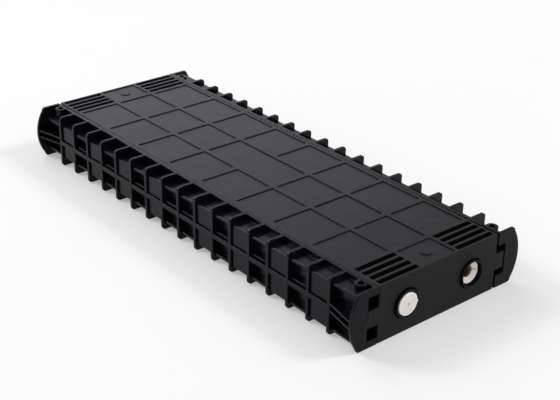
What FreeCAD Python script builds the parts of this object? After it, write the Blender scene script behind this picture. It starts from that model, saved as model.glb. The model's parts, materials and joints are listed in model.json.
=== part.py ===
import FreeCAD, Part
import math
import os

from FreeCAD import Vector

os.makedirs("parts", exist_ok=True)

# Cutting solids reach this far past the faces they open
OVER = 1.0

# Body: two moulded shells that meet at mid height. X runs along the length, Z is up, millimetres.
BODY_LENGTH = 412.0
BODY_WIDTH = 119.0
BODY_HEIGHT = 46.0
SHELL_WALL = 3.0
END_BLOCK = 32.0
EDGE_ROUND = 0.8
SEAM = BODY_HEIGHT / 2
HALF_LENGTH = BODY_LENGTH / 2
HALF_WIDTH = BODY_WIDTH / 2

# Raised grid on the roof, centred, so that its cross ribs line up with every second rail rib
RIB_PITCH = 22.0
RIB_COUNT = 17
ROW_PITCH = 2 * RIB_PITCH
ROW_COUNT = 8
ROW_RIB = 4.1
PANEL_DEPTH = 0.7
SIDE_COLUMN = (20.4, 56.4)
MIDDLE_COLUMN = 16.8
DOUBLE_ROW = 3
RIB_START = -RIB_PITCH * (RIB_COUNT - 1) / 2
GRID_END = (ROW_COUNT * ROW_PITCH - ROW_RIB) / 2
END_CELL_RIM = 2.5
MARK_DIAMETER = 9.2
MARK_HEIGHT = 0.6
SLOT_PITCH = 7.1
SLOT_WIDTH = 4.7
SLOT_DEPTH = 6.0
SLOT_SPAN = (19.6, 57.5)
SLOT_COUNT = 4
SLOT_INSET = 3.8

# Tongue along both sides, with a sloped ridge that the rail's wedge bears on
TONGUE_REACH = 8.5
TONGUE_HALF = 6.9
RIDGE_WIDTH = 2.8
RIDGE_HALF_LENGTH = 165.0

# Stop at the end of the tongue where the rail's channel is widest: a pad that fills the channel's mouth, and
# a thin tab of the lower shell that lies in a step of the rail's end plate
PAD_LENGTH = 3.0
STOP_CLEARANCE = 0.3
TAB_WALL = 1.1

# Clamp rail: a channel that narrows from the open end to the closed end, where its inner face is relieved
RAIL_GAP = 0.3
RELIEF_DEPTH = 1.4
RELIEF_LENGTH = 80.0
STRIP_WIDTH = 3.9
RAIL_WALL = 2.3
CHANNEL_OPEN = 17.4
CHANNEL_CLOSED = 12.4
WEB_INNER = 69.7
WEB_WALL = 2.2
PANEL_FACE = 76.9
RIB_FACE = 78.6
RIB_WALL = 2.8
RIB_CORNER = 2.8
END_PLATE = 2.6
PLATE_FACE = 79.0
BULGE_FACE = 85.2
FLARE_SETBACK = (0.3, 0.9)
LIP_HALF_LENGTH = 160.0
LIP_CLEARANCE = 0.4
BAYS = "FDFDFDFDDFDFDFDF"
GROOVE = (23.8, 24.8)
GROOVE_DEPTH = 0.8
BAY_RIBS = ((18.7, 23.6, 0.0), (24.8, 26.4, 0.6))
END_RIBS = ((19.4, 20.8), (25.0, 26.4))
BOSS_DIAMETER = 9.5
BOSS_BORE = 4.8
BOSS_INSET = 11.7
BOSS_SIDE = 2.4
STEP_DEPTH = TAB_WALL + STOP_CLEARANCE
STEP_WIDTH = 4.0

# Cable ports: two at each end, each with a rubber ring
PORT_SPREAD = 33.0
SEAT_RADIUS = 12.0
SEAT_DEPTH = 20.0
CABLE_RADIUS = 11.2
ROUND_CLEARANCE = 0.3
NOSE_RADIUS = 11.2
NOSE_START = 4.0
NOSE_OUT = 1.8
MOUTH_RADIUS = 9.7
MOUTH_DEPTH = 3.4
PLUG_RADIUS = 8.75
PLUG_OUT = 2.3
PLUG_COLLAR_RADIUS = 10.8
PLUG_COLLAR = 3.0
SLEEVE_BORE = 4.6
SLEEVE_SETBACK = 1.6
GATE_RADIUS = 0.8
GATE_DEPTH = 0.4

# Sealing cords in the seam
CORD_WIDTH = 3.0
CORD_HALF = 1.4
CORD_LINE = 62.9
CORD_CROSS = 10.0

# Tray frame inside
FRAME_WIDTH = 92.0
FRAME_END_GAP = 10.0
FRAME_HALF_LENGTH = HALF_LENGTH - END_BLOCK - FRAME_END_GAP
FRAME_WALL = 1.5
FRAME_RIM = 25.0
FRAME_BRIDGE = 10.0
STANDOFF = 3.0
STANDOFF_RADIUS = 5.0
SCREW_RADIUS = 1.7
HEAD_RADIUS = 3.4
HEAD_HEIGHT = 2.2
CLAMP_INSET = 16.0
CLAMP_PLACE = FRAME_HALF_LENGTH - CLAMP_INSET
CLAMP_BLOCK = (14.0, 16.0, 11.0)
CLAMP_FOOT = (12.0, 16.0, 3.0)
CLAMP_WIRE_BORE = 2.2

# Splice trays: the stack and its nuts fill the clear height under the roof
COVER_WALL = 1.2
BOLT_PLACE = 36.0
BOLT_RADIUS = 2.0
NUT_RADIUS = 5.0
NUT_HEIGHT = 5.0
BOLT_TIP = 1.5
ROOF_GAP = 3.8
FRAME_LOW = SHELL_WALL + STANDOFF
FRAME_TOP = FRAME_LOW + FRAME_WALL
STACK_TOP = BODY_HEIGHT - SHELL_WALL - ROOF_GAP - BOLT_TIP - NUT_HEIGHT - COVER_WALL
TRAY_COUNT = 3
TRAY_LENGTH = 190.0
TRAY_WIDTH = 98.0
TRAY_HEIGHT = (STACK_TOP - FRAME_TOP) / TRAY_COUNT
TRAY_CORNER = 40.0
TRAY_WALL = 1.6
TRAY_FLOOR = 1.4
TURN_PLACE = 56.0
TURN_RADIUS = 24.0
TURN_WALL = 1.4
TURN_DROP = 1.1
COMB_LENGTH = 44.0
COMB_WIDTH = 40.0
COMB_DROP = 1.6
COMB_SLOTS = 6
COMB_SLOT = 3.2
COMB_BASE = 1.4


def box(x0, x1, y0, y1, z0, z1):
    return Part.makeBox(x1 - x0, y1 - y0, z1 - z0, Vector(x0, y0, z0))


def post(radius, x, y, z0, z1):
    return Part.makeCylinder(radius, z1 - z0, Vector(x, y, z0))


def rod(radius, x0, x1, y, z):
    return Part.makeCylinder(radius, x1 - x0, Vector(x0, y, z), Vector(1, 0, 0))


def prism(points, run):
    """Straight sweep of a closed outline along the vector run."""
    solid = Part.Face(Part.makePolygon(points + points[:1])).extrude(run)
    if solid.Volume < 0:
        solid.reverse()
    return solid


def wedge(x0, x1, y0, y1, low, high):
    """Block between two sloping planes; low and high give the level at each x."""
    lower = [Vector(x, y0, low(x)) for x in (x0, x1)]
    upper = [Vector(x, y0, high(x)) for x in (x1, x0)]
    return prism(lower + upper, Vector(0, y1 - y0, 0))


def join(shapes):
    return shapes[0].multiFuse(shapes[1:]).removeSplitter()


def turned(shape):
    """The same piece turned half round about the upright axis."""
    copy = shape.copy()
    copy.rotate(Vector(0, 0, 0), Vector(0, 0, 1), 180)
    return copy


def flipped(shape):
    """The same piece mirrored in the seam between the shells."""
    return shape.mirror(Vector(0, 0, SEAM), Vector(0, 0, 1))


def mirrored_ends(shape):
    return shape.mirror(Vector(0, 0, 0), Vector(1, 0, 0))


def save(name, shape):
    shape.exportStep("parts/%s.step" % name)


def channel(x):
    """Half height of the rail's channel at x, for the rail on the +Y side."""
    share = (HALF_LENGTH - x) / BODY_LENGTH
    return CHANNEL_CLOSED + (CHANNEL_OPEN - CHANNEL_CLOSED) * share


def roof(x):
    return SEAM + channel(x)


def shelf(x):
    return roof(x) + RAIL_WALL


def seam(x):
    return SEAM


def top(x):
    return BODY_HEIGHT


RAIL_INNER = HALF_WIDTH + RAIL_GAP
STRIP_OUTER = RAIL_INNER + STRIP_WIDTH
TONGUE_FACE = HALF_WIDTH + TONGUE_REACH
TONGUE_TOP = SEAM + TONGUE_HALF
SEAT_END = HALF_LENGTH - SEAT_DEPTH
PORTS = [(name, end, side) for end, word in ((1, "near"), (-1, "far")) for side, name in
         ((-1, word + "_left"), (1, word + "_right"))]


def port_cut():
    """Stepped bore of one port at the +X end, on the +Y side."""
    seat = rod(SEAT_RADIUS, SEAT_END, HALF_LENGTH + OVER, PORT_SPREAD, SEAM)
    cable = rod(CABLE_RADIUS, HALF_LENGTH - END_BLOCK - OVER, SEAT_END, PORT_SPREAD, SEAM)
    return seat.fuse(cable)


def cord_blocks(width, half):
    """Blocks of the cord on the +Y side: along the tongue and in at both ends, to the port rings."""
    line = HALF_LENGTH - CORD_CROSS
    ring = PORT_SPREAD + SEAT_RADIUS
    low, high = SEAM - half, SEAM + half
    edge = width / 2
    run = box(-line - edge, line + edge, CORD_LINE - edge, CORD_LINE + edge, low, high)
    cross = [box(x - edge, x + edge, ring, CORD_LINE, low, high) for x in (-line, line)]
    return join([run] + cross)


def middle_cord(half):
    """Cord between the two ports of the +X end."""
    line = HALF_LENGTH - CORD_CROSS
    reach = PORT_SPREAD - SEAT_RADIUS
    return box(line - CORD_WIDTH / 2, line + CORD_WIDTH / 2, -reach, reach, SEAM - half, SEAM + half)


def half_shell():
    """What both shells share, drawn as the upper one."""
    block = box(-HALF_LENGTH, HALF_LENGTH, -HALF_WIDTH, HALF_WIDTH, SEAM, BODY_HEIGHT)
    rounded = [e for e in block.Edges if e.CenterOfMass.z > SEAM + EDGE_ROUND]
    block = block.makeFillet(EDGE_ROUND, rounded)
    tongue = box(-HALF_LENGTH, HALF_LENGTH, -TONGUE_FACE, TONGUE_FACE, SEAM, TONGUE_TOP)
    ridge_inner = TONGUE_FACE - RIDGE_WIDTH
    ridge = wedge(-RIDGE_HALF_LENGTH, RIDGE_HALF_LENGTH, ridge_inner, TONGUE_FACE, seam, roof)
    pad_face = STOP_CLEARANCE - WEB_INNER
    pad = box(HALF_LENGTH - PAD_LENGTH, HALF_LENGTH, pad_face, -HALF_WIDTH, SEAM, TONGUE_TOP)
    shell = join([block, tongue, ridge, turned(ridge), pad, turned(pad)])
    inner = HALF_LENGTH - END_BLOCK
    side = HALF_WIDTH - SHELL_WALL
    cuts = [box(-inner, inner, -side, side, SEAM - OVER, BODY_HEIGHT - SHELL_WALL)]
    cut = port_cut()
    cuts += [cut, turned(cut), mirrored_ends(cut), turned(mirrored_ends(cut))]
    cord = cord_blocks(CORD_WIDTH, CORD_HALF)
    middle = middle_cord(CORD_HALF)
    cuts += [cord, turned(cord), middle, turned(middle)]
    return shell.cut(cuts)


def roof_cuts():
    """Recessed panels, end cells with their round mark, and end slots of the upper shell."""
    floor = BODY_HEIGHT - PANEL_DEPTH
    over = BODY_HEIGHT + OVER
    cuts = []
    for row in range(ROW_COUNT):
        x0 = row * ROW_PITCH - GRID_END
        x1 = x0 + ROW_PITCH - ROW_RIB
        y0, y1 = SIDE_COLUMN
        cuts += [box(x0, x1, y0, y1, floor, over), box(x0, x1, -y1, -y0, floor, over)]
        if row == DOUBLE_ROW:
            x1 += ROW_PITCH
        if row != DOUBLE_ROW + 1:
            cuts.append(box(x0, x1, -MIDDLE_COLUMN, MIDDLE_COLUMN, floor, over))
    x0, x1 = GRID_END + ROW_RIB, HALF_LENGTH - END_CELL_RIM
    cell = box(x0, x1, -MIDDLE_COLUMN, MIDDLE_COLUMN, floor, over)
    mark = post(MARK_DIAMETER / 2, (x0 + x1) / 2, 0, floor - OVER, floor + MARK_HEIGHT)
    end_cuts = [cell.cut(mark)]
    for k in range(SLOT_COUNT):
        x0 = GRID_END + SLOT_INSET + k * SLOT_PITCH
        for y0, y1 in (SLOT_SPAN, (-SLOT_SPAN[1], -SLOT_SPAN[0])):
            end_cuts.append(box(x0, x0 + SLOT_WIDTH, y0, y1, BODY_HEIGHT - SLOT_DEPTH, over))
    return cuts + end_cuts + [turned(cut) for cut in end_cuts]


def four_places(x):
    """The same place at both ends, in line with every port."""
    return [(end * x, side * PORT_SPREAD) for end in (-1, 1) for side in (-1, 1)]


def fixing_places():
    return four_places(CLAMP_PLACE - (CLAMP_BLOCK[0] + CLAMP_FOOT[0]) / 2)


def screw_bores(places, z0, z1):
    return [post(SCREW_RADIUS + ROUND_CLEARANCE, x, y, z0, z1) for x, y in places]


def lower_shell(shell):
    """The mirrored half with standoffs for the frame on its floor and a stop tab for each rail."""
    root = SHELL_WALL - OVER
    raised = [post(STANDOFF_RADIUS, x, y, root, FRAME_LOW) for x, y in fixing_places()]
    x0 = HALF_LENGTH - TAB_WALL
    outer = STOP_CLEARANCE - WEB_INNER - STEP_WIDTH
    low = SEAM - CHANNEL_OPEN + STOP_CLEARANCE
    arm = box(x0, HALF_LENGTH, outer, -HALF_WIDTH, SEAM - TONGUE_HALF, SEAM)
    leg = box(x0, HALF_LENGTH, outer, -WEB_INNER - STOP_CLEARANCE, low, SEAM)
    tab = join([arm, leg])
    floor = join([flipped(shell), tab, turned(tab)] + raised)
    return floor.cut(screw_bores(fixing_places(), root, FRAME_LOW + OVER))


def end_plate(x0):
    """D-shaped plate that closes one end of the rail."""
    flat = PLATE_FACE - RIB_CORNER
    half_way = RIB_CORNER * math.sqrt(0.5)
    outline = [(RAIL_INNER, BODY_HEIGHT), (flat, BODY_HEIGHT)]
    bend = (flat + half_way, BODY_HEIGHT - RIB_CORNER + half_way)
    corner = (PLATE_FACE, BODY_HEIGHT - RIB_CORNER)
    inner_high, flat_high, bend_high, corner_high = [Vector(x0, y, z) for y, z in outline + [bend, corner]]
    low = [Vector(x0, p.y, BODY_HEIGHT - p.z) for p in (inner_high, flat_high, bend_high, corner_high)]
    inner_low, flat_low, bend_low, corner_low = low
    edges = [
        Part.makeLine(inner_low, inner_high),
        Part.makeLine(inner_high, flat_high),
        Part.Arc(flat_high, bend_high, corner_high).toShape(),
        Part.Arc(corner_high, Vector(x0, BULGE_FACE, SEAM), corner_low).toShape(),
        Part.Arc(corner_low, bend_low, flat_low).toShape(),
        Part.makeLine(flat_low, inner_low),
    ]
    return Part.Face(Part.Wire(edges)).extrude(Vector(END_PLATE, 0, 0))


def rail_rib(x):
    """One upright rib with both outer corners rounded."""
    plate = box(x - RIB_WALL / 2, x + RIB_WALL / 2, RAIL_INNER, RIB_FACE, 0, BODY_HEIGHT)
    outer = [e for e in plate.Edges if e.BoundBox.YMin > RIB_FACE - RIB_WALL]
    corners = [e for e in outer if abs(e.CenterOfMass.z - SEAM) > SEAM / 2]
    return plate.makeFillet(RIB_CORNER, corners)


def rail_frame():
    """Upper half of the rail's walls: sloping shelf, web, strip beside the body and lip over the tongue."""
    reach = HALF_LENGTH
    web_outer = WEB_INNER + WEB_WALL
    lip_low = TONGUE_TOP + LIP_CLEARANCE
    return [
        wedge(-reach, reach, RAIL_INNER, PANEL_FACE, roof, shelf),
        wedge(-reach, reach, WEB_INNER, web_outer, seam, shelf),
        wedge(-reach, reach, RAIL_INNER, STRIP_OUTER, roof, top),
        wedge(-LIP_HALF_LENGTH, LIP_HALF_LENGTH, RAIL_INNER, STRIP_OUTER, lambda x: lip_low, shelf),
    ]


def bay(index):
    """Clear length of a bay between two ribs, along x."""
    start = RIB_START + index * RIB_PITCH + RIB_WALL / 2
    return start, start + RIB_PITCH - RIB_WALL


def flared_rib(root, z0, z1):
    """Lengthwise rib of the +X end bay that widens from the last rib to the bulge of the end plate."""
    start = -RIB_START + RIB_WALL / 2
    end = HALF_LENGTH - END_PLATE
    narrow, wide = RIB_FACE - FLARE_SETBACK[0], BULGE_FACE - FLARE_SETBACK[1]
    outline = [Vector(x, y, z0) for x, y in ((start, root), (end, root), (end, wide), (start, narrow))]
    return prism(outline, Vector(0, 0, z1 - z0))


def clamp_rail():
    """Rail on the +Y side, open end at -X. Flat bays step the web outwards, deep bays do not."""
    web_outer = WEB_INNER + WEB_WALL
    pocket_face = PANEL_FACE - WEB_WALL
    flats = [bay(k) for k, kind in enumerate(BAYS) if kind == "F"]
    deeps = [bay(k) for k, kind in enumerate(BAYS) if kind == "D"]
    half = rail_frame()
    half += [wedge(x0, x1, WEB_INNER, PANEL_FACE, seam, shelf) for x0, x1 in flats]
    half += [flipped(shape) for shape in half]
    ribs = [rail_rib(RIB_START + k * RIB_PITCH) for k in range(RIB_COUNT)]
    plates = [end_plate(-HALF_LENGTH), end_plate(HALF_LENGTH - END_PLATE)]
    root = web_outer - OVER
    cross = [box(x0, x1, root, PANEL_FACE - back, z0, z1)
             for x0, x1 in deeps for z0, z1, back in BAY_RIBS]
    for z0, z1 in END_RIBS:
        flare = flared_rib(root, z0, z1)
        cross += [flare, mirrored_ends(flare)]
    boss_x = HALF_LENGTH - BOSS_INSET
    boss_y = STRIP_OUTER + BOSS_SIDE
    bosses = [post(BOSS_DIAMETER / 2, x, boss_y, shelf(x) - OVER, BODY_HEIGHT) for x in (-boss_x, boss_x)]
    rail = join(half + ribs + plates + cross + bosses)
    reach = HALF_LENGTH + OVER
    inside = RAIL_INNER - OVER
    hollow = wedge(-reach, reach, STRIP_OUTER, WEB_INNER, seam, roof)
    mouths = [wedge(x0, x1, inside, STRIP_OUTER, seam, roof)
              for x0, x1 in ((-reach, -LIP_HALF_LENGTH), (LIP_HALF_LENGTH, reach))]
    entry = box(-reach, reach, inside, STRIP_OUTER, SEAM, TONGUE_TOP + LIP_CLEARANCE)
    pockets = [wedge(x0, x1, WEB_INNER - OVER, pocket_face, seam, roof) for x0, x1 in flats]
    cuts = [hollow, entry] + mouths + pockets
    cuts += [flipped(shape) for shape in cuts]
    cuts += [box(x0, x1, PANEL_FACE - GROOVE_DEPTH, PANEL_FACE + OVER, *GROOVE) for x0, x1 in flats]
    cuts += [post(BOSS_BORE / 2, x, boss_y, SEAM, BODY_HEIGHT + OVER) for x in (-boss_x, boss_x)]
    step_x = STEP_DEPTH - HALF_LENGTH
    step_y = WEB_INNER + STEP_WIDTH
    cuts.append(box(-reach, step_x, WEB_INNER - OVER, step_y, SEAM - CHANNEL_OPEN, SEAM + STOP_CLEARANCE))
    relief = [(HALF_LENGTH - RELIEF_LENGTH, RAIL_INNER), (reach, inside), (reach, RAIL_INNER + RELIEF_DEPTH)]
    cuts.append(prism([Vector(x, y, -OVER) for x, y in relief], Vector(0, 0, BODY_HEIGHT + 2 * OVER)))
    return rail.cut(cuts).removeSplitter()


def port_seal():
    """Rubber ring of the port at +X, +Y: a wide body on the seat and a narrower, wide-mouthed nose."""
    body = rod(SEAT_RADIUS - ROUND_CLEARANCE, SEAT_END, HALF_LENGTH - NOSE_START, PORT_SPREAD, SEAM)
    nose = rod(NOSE_RADIUS, HALF_LENGTH - NOSE_START - OVER, HALF_LENGTH + NOSE_OUT, PORT_SPREAD, SEAM)
    clear = PLUG_RADIUS + ROUND_CLEARANCE
    front = HALF_LENGTH + NOSE_OUT
    bore = rod(clear, SEAT_END - OVER, front + OVER, PORT_SPREAD, SEAM)
    mouth = rod(MOUTH_RADIUS, front - MOUTH_DEPTH, front + OVER, PORT_SPREAD, SEAM)
    return join([body, nose]).cut([bore, mouth])


def plug(tip, bore):
    """Turned insert of the port at +X, +Y, with a collar behind the ring; a bore makes it a sleeve."""
    stem = rod(PLUG_RADIUS, SEAT_END - PLUG_COLLAR, tip, PORT_SPREAD, SEAM)
    collar = rod(PLUG_COLLAR_RADIUS, SEAT_END - PLUG_COLLAR, SEAT_END, PORT_SPREAD, SEAM)
    body = join([stem, collar])
    if bore:
        return body.cut(rod(bore, SEAT_END - PLUG_COLLAR - OVER, tip + OVER, PORT_SPREAD, SEAM))
    return body.cut(rod(GATE_RADIUS, tip - GATE_DEPTH, tip + OVER, PORT_SPREAD, SEAM))


def placed(shape, end, side):
    """A piece drawn for the +X, +Y port, moved to the port at the given end and side."""
    if end * side < 0:
        shape = shape.mirror(Vector(0, 0, 0), Vector(0, 1, 0))
    return turned(shape) if end < 0 else shape


def rounded_block(length, width, corner, z0, z1):
    block = box(-length / 2, length / 2, -width / 2, width / 2, z0, z1)
    upright = [e for e in block.Edges if e.BoundBox.ZLength > (z1 - z0) / 2]
    return block.makeFillet(corner, upright)


def bolt_bores(z0, z1):
    return [post(BOLT_RADIUS + ROUND_CLEARANCE, 0, y, z0, z1) for y in (-BOLT_PLACE, BOLT_PLACE)]


def splice_tray(z0):
    """Tray with rim, two turning rings for the fibre and bores for the bolts."""
    z1 = z0 + TRAY_HEIGHT
    floor = z0 + TRAY_FLOOR
    length, width = TRAY_LENGTH - 2 * TRAY_WALL, TRAY_WIDTH - 2 * TRAY_WALL
    tray = rounded_block(TRAY_LENGTH, TRAY_WIDTH, TRAY_CORNER, z0, z1)
    tray = tray.cut(rounded_block(length, width, TRAY_CORNER - TRAY_WALL, floor, z1 + OVER))
    rings = []
    for x in (-TURN_PLACE, TURN_PLACE):
        ring = post(TURN_RADIUS, x, 0, z0, z1 - TURN_DROP)
        rings.append(ring.cut(post(TURN_RADIUS - TURN_WALL, x, 0, floor, z1)))
    pads = [post(NUT_RADIUS, 0, y, z0, z1) for y in (-BOLT_PLACE, BOLT_PLACE)]
    return join([tray] + rings + pads).cut(bolt_bores(z0 - OVER, z1 + OVER))


def splice_comb(z0):
    """Slotted block that grips the splice sleeves of one tray."""
    reach, side = COMB_LENGTH / 2, COMB_WIDTH / 2
    crest = z0 + TRAY_HEIGHT - COMB_DROP
    low = z0 + TRAY_FLOOR
    comb = box(-reach, reach, -side, side, low, crest)
    pitch = COMB_WIDTH / COMB_SLOTS
    cuts = []
    for k in range(COMB_SLOTS):
        y0 = -side + (k + 0.5) * pitch - COMB_SLOT / 2
        cuts.append(box(-reach - OVER, reach + OVER, y0, y0 + COMB_SLOT, low + COMB_BASE, crest + OVER))
    return comb.cut(cuts)


def tray_frame():
    """Flat plate that carries the trays and the strength-member clamps."""
    side = FRAME_WIDTH / 2
    plate = box(-FRAME_HALF_LENGTH, FRAME_HALF_LENGTH, -side, side, FRAME_LOW, FRAME_TOP)
    low, high = FRAME_LOW - OVER, FRAME_TOP + OVER
    window = TRAY_LENGTH / 2 - FRAME_RIM
    edge = side - FRAME_RIM
    spans = ((-window, -FRAME_BRIDGE), (FRAME_BRIDGE, window))
    cuts = [box(x0, x1, -edge, edge, low, high) for x0, x1 in spans]
    return plate.cut(cuts + screw_bores(fixing_places(), low, high) + bolt_bores(low, high))


def strength_clamp():
    """Clamp at +X, +Y: block with a cross bore for the cable's centre member, and a foot with one fixing."""
    length, width, height = CLAMP_BLOCK
    foot, foot_width, foot_height = CLAMP_FOOT
    x0 = CLAMP_PLACE - length / 2
    y0 = PORT_SPREAD
    block = box(x0, x0 + length, y0 - width / 2, y0 + width / 2, FRAME_TOP, FRAME_TOP + height)
    base = box(x0 - foot, x0, y0 - foot_width / 2, y0 + foot_width / 2, FRAME_TOP, FRAME_TOP + foot_height)
    wire = rod(CLAMP_WIRE_BORE, x0 - OVER, x0 + length + OVER, y0, FRAME_TOP + height / 2)
    tapped = screw_bores([(CLAMP_PLACE, y0)], FRAME_TOP + height / 2, FRAME_TOP + height + OVER)
    fixing = screw_bores([(x0 - foot / 2, y0)], FRAME_TOP - OVER, FRAME_TOP + foot_height + OVER)
    return join([block, base]).cut([wire] + tapped + fixing)


def screws(places, seat, length):
    """Round-headed screws whose heads rest at the level seat."""
    made = []
    for x, y in places:
        shank = post(SCREW_RADIUS, x, y, seat - length, seat)
        head = post(HEAD_RADIUS, x, y, seat, seat + HEAD_HEIGHT)
        made.append(join([shank, head]))
    return Part.makeCompound(made)


def main():
    shell = half_shell()
    save("upper_shell", shell.cut(roof_cuts()).removeSplitter())
    save("lower_shell", lower_shell(shell))
    rail = clamp_rail()
    save("clamp_rail_right", rail)
    save("clamp_rail_left", turned(rail))

    cord = cord_blocks(CORD_WIDTH, CORD_HALF)
    middle = middle_cord(CORD_HALF)
    seat = SEAT_RADIUS
    rings = [placed(rod(seat + ROUND_CLEARANCE, SEAT_END, HALF_LENGTH, PORT_SPREAD, SEAM), end, side)
             for name, end, side in PORTS]
    save("seal_cord_right", cord.cut(rings))
    save("seal_cord_left", turned(cord).cut(rings))
    save("seal_cord_near", middle.cut(rings))
    save("seal_cord_far", turned(middle).cut(rings))
    for name, end, side in PORTS:
        save(name + "_port_seal", placed(port_seal(), end, side))
        if name == "near_right":
            save("near_right_sleeve", placed(plug(HALF_LENGTH - SLEEVE_SETBACK, SLEEVE_BORE), end, side))
        else:
            save(name + "_plug", placed(plug(HALF_LENGTH + PLUG_OUT, 0), end, side))
        save(name + "_strength_clamp", placed(strength_clamp(), end, side))

    save("tray_frame", tray_frame())
    for k in range(TRAY_COUNT):
        level = FRAME_TOP + k * TRAY_HEIGHT
        save("splice_tray_%d" % (k + 1), splice_tray(level))
        save("splice_comb_%d" % (k + 1), splice_comb(level))
    lid = STACK_TOP + COVER_WALL
    cover = rounded_block(TRAY_LENGTH, TRAY_WIDTH, TRAY_CORNER, STACK_TOP, lid)
    save("tray_cover", cover.cut(bolt_bores(STACK_TOP - OVER, lid + OVER)))
    bolts = []
    nuts = []
    for y in (-BOLT_PLACE, BOLT_PLACE):
        shank = post(BOLT_RADIUS, 0, y, FRAME_LOW, lid + NUT_HEIGHT + BOLT_TIP)
        bolts.append(join([shank, post(HEAD_RADIUS, 0, y, FRAME_LOW - HEAD_HEIGHT, FRAME_LOW)]))
        nut = post(NUT_RADIUS, 0, y, lid, lid + NUT_HEIGHT)
        nuts.append(nut.cut(bolt_bores(lid - OVER, lid + NUT_HEIGHT + OVER)))
    save("tray_bolts", Part.makeCompound(bolts))
    save("tray_nuts", Part.makeCompound(nuts))
    foot_top = FRAME_TOP + CLAMP_FOOT[2]
    save("frame_screws", screws(fixing_places(), foot_top, foot_top - SHELL_WALL))
    block_top = FRAME_TOP + CLAMP_BLOCK[2]
    save("clamp_screws", screws(four_places(CLAMP_PLACE), block_top, CLAMP_BLOCK[2] / 2 - CLAMP_WIRE_BORE))


main()
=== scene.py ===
import json
import logging
import math
from dataclasses import dataclass, field
from enum import Enum
from typing import Any, Sequence

import bpy
import numpy as np
from mathutils import Matrix, Vector


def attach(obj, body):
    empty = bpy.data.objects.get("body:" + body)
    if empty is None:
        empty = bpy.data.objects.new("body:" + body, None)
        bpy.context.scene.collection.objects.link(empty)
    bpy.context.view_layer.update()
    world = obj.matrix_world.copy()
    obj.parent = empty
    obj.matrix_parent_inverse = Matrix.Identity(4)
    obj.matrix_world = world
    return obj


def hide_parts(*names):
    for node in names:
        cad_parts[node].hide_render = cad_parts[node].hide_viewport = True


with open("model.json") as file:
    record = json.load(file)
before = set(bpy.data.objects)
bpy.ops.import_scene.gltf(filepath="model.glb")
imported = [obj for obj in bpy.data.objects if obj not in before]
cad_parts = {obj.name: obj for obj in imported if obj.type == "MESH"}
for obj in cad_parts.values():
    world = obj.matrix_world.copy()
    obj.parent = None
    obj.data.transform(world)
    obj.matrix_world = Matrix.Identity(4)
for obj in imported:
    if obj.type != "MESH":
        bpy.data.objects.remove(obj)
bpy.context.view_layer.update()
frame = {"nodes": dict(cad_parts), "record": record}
LOG = logging.getLogger("closure")

# Metres in a millimetre; every size below is in millimetres unless it says otherwise
MM = 0.001
CLOSURE = "closure"
# Edges sharper than this keep a crease in the shading
SHARP_ANGLE = math.radians(40)
# Straight pieces in a small rounding, and in one that shows
RIM_STEPS = 3
FINE_STEPS = 6
# Widths of the softened edges of pieces kept from the frame: the shells' crisp ones, and those inside
SHELL_EDGE = 0.06
INNER_EDGE = 0.2
# Sockets of a Mix node that mixes colours: its share, its two colours and its result
SHARE, COLOUR_A, COLOUR_B, MIXED = 0, 6, 7, 2


class Axis(Enum):
    """Direction along which a profile is carried: the profile's two axes, then the path's axis."""

    X = (1, 2, 0)
    Y = (2, 0, 1)
    Z = (0, 1, 2)


class Side(Enum):
    """Side of the closure, as the sign of y."""

    LEFT = -1
    RIGHT = 1


class End(Enum):
    """End of the closure, as the sign of x."""

    FAR = -1
    NEAR = 1


class Insert(Enum):
    """What fills a cable port."""

    PLUG = "plug"
    SLEEVE = "sleeve"


class Bay(Enum):
    """Kind of bay between two ribs of a rail, as one letter of the rail's row of bays."""

    FLAT = "F"
    DEEP = "D"


@dataclass
class Patch:
    """One closed surface in millimetres.

    Attributes:
        points: Vertices, one row each.
        quads: Rows of four vertex numbers.
        caps: Vertex numbers of each flat end face.
    """

    points: np.ndarray
    quads: np.ndarray
    caps: list[np.ndarray] = field(default_factory=list)

    def turned(self) -> "Patch":
        """The same surface turned half round about the upright axis."""
        return Patch(self.points * (-1.0, -1.0, 1.0), self.quads, self.caps)

    def moved(self, x: float, y: float, z: float) -> "Patch":
        """The same surface moved by x, y and z."""
        return Patch(self.points + (x, y, z), self.quads, self.caps)

    def mesh(self, name: str) -> bpy.types.Mesh:
        """Puts the surface into a mesh, in metres.

        Args:
            name: Name of the mesh.

        Returns:
            The mesh.
        """
        mesh = bpy.data.meshes.new(name)
        faces = self.quads.tolist() + [cap.tolist() for cap in self.caps]
        mesh.from_pydata((self.points * MM).tolist(), [], faces)
        mesh.update()
        return mesh


def rounded_outline(
    corners: Sequence[tuple[float, float]], radii: float | Sequence[float] | np.ndarray, steps: int = RIM_STEPS
) -> np.ndarray:
    """Closed outline whose corners are circle arcs.

    Corner C with unit directions a and b along its two edges becomes the rational curve from C + d a to C + d b
    with middle point C of weight w, where d = radius / tan(half the inner angle) and w = sin(half the inner
    angle). That curve is a circle arc.

    Args:
        corners: Corners in order, anticlockwise.
        radii: One radius, or one for each corner.
        steps: Straight pieces in each arc.

    Returns:
        The outline's points, one row each.
    """
    tip = np.asarray(corners, float)
    back = np.roll(tip, 1, axis=0) - tip
    onward = np.roll(tip, -1, axis=0) - tip
    back /= np.linalg.norm(back, axis=1, keepdims=True)
    onward /= np.linalg.norm(onward, axis=1, keepdims=True)
    half = np.arccos(np.clip((back * onward).sum(axis=1), -1, 1)) / 2
    reach = (np.broadcast_to(radii, half.shape) / np.tan(half))[:, None]
    t = np.linspace(0, 1, steps + 1)
    first, last = (1 - t) ** 2, t**2
    middle = 2 * t * (1 - t) * np.sin(half)[:, None]
    above = (
        first[:, None] * (tip + back * reach)[:, None]
        + middle[..., None] * tip[:, None]
        + last[:, None] * (tip + onward * reach)[:, None]
    )
    return (above / (first + middle + last)[..., None]).reshape(-1, 2)


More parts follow.
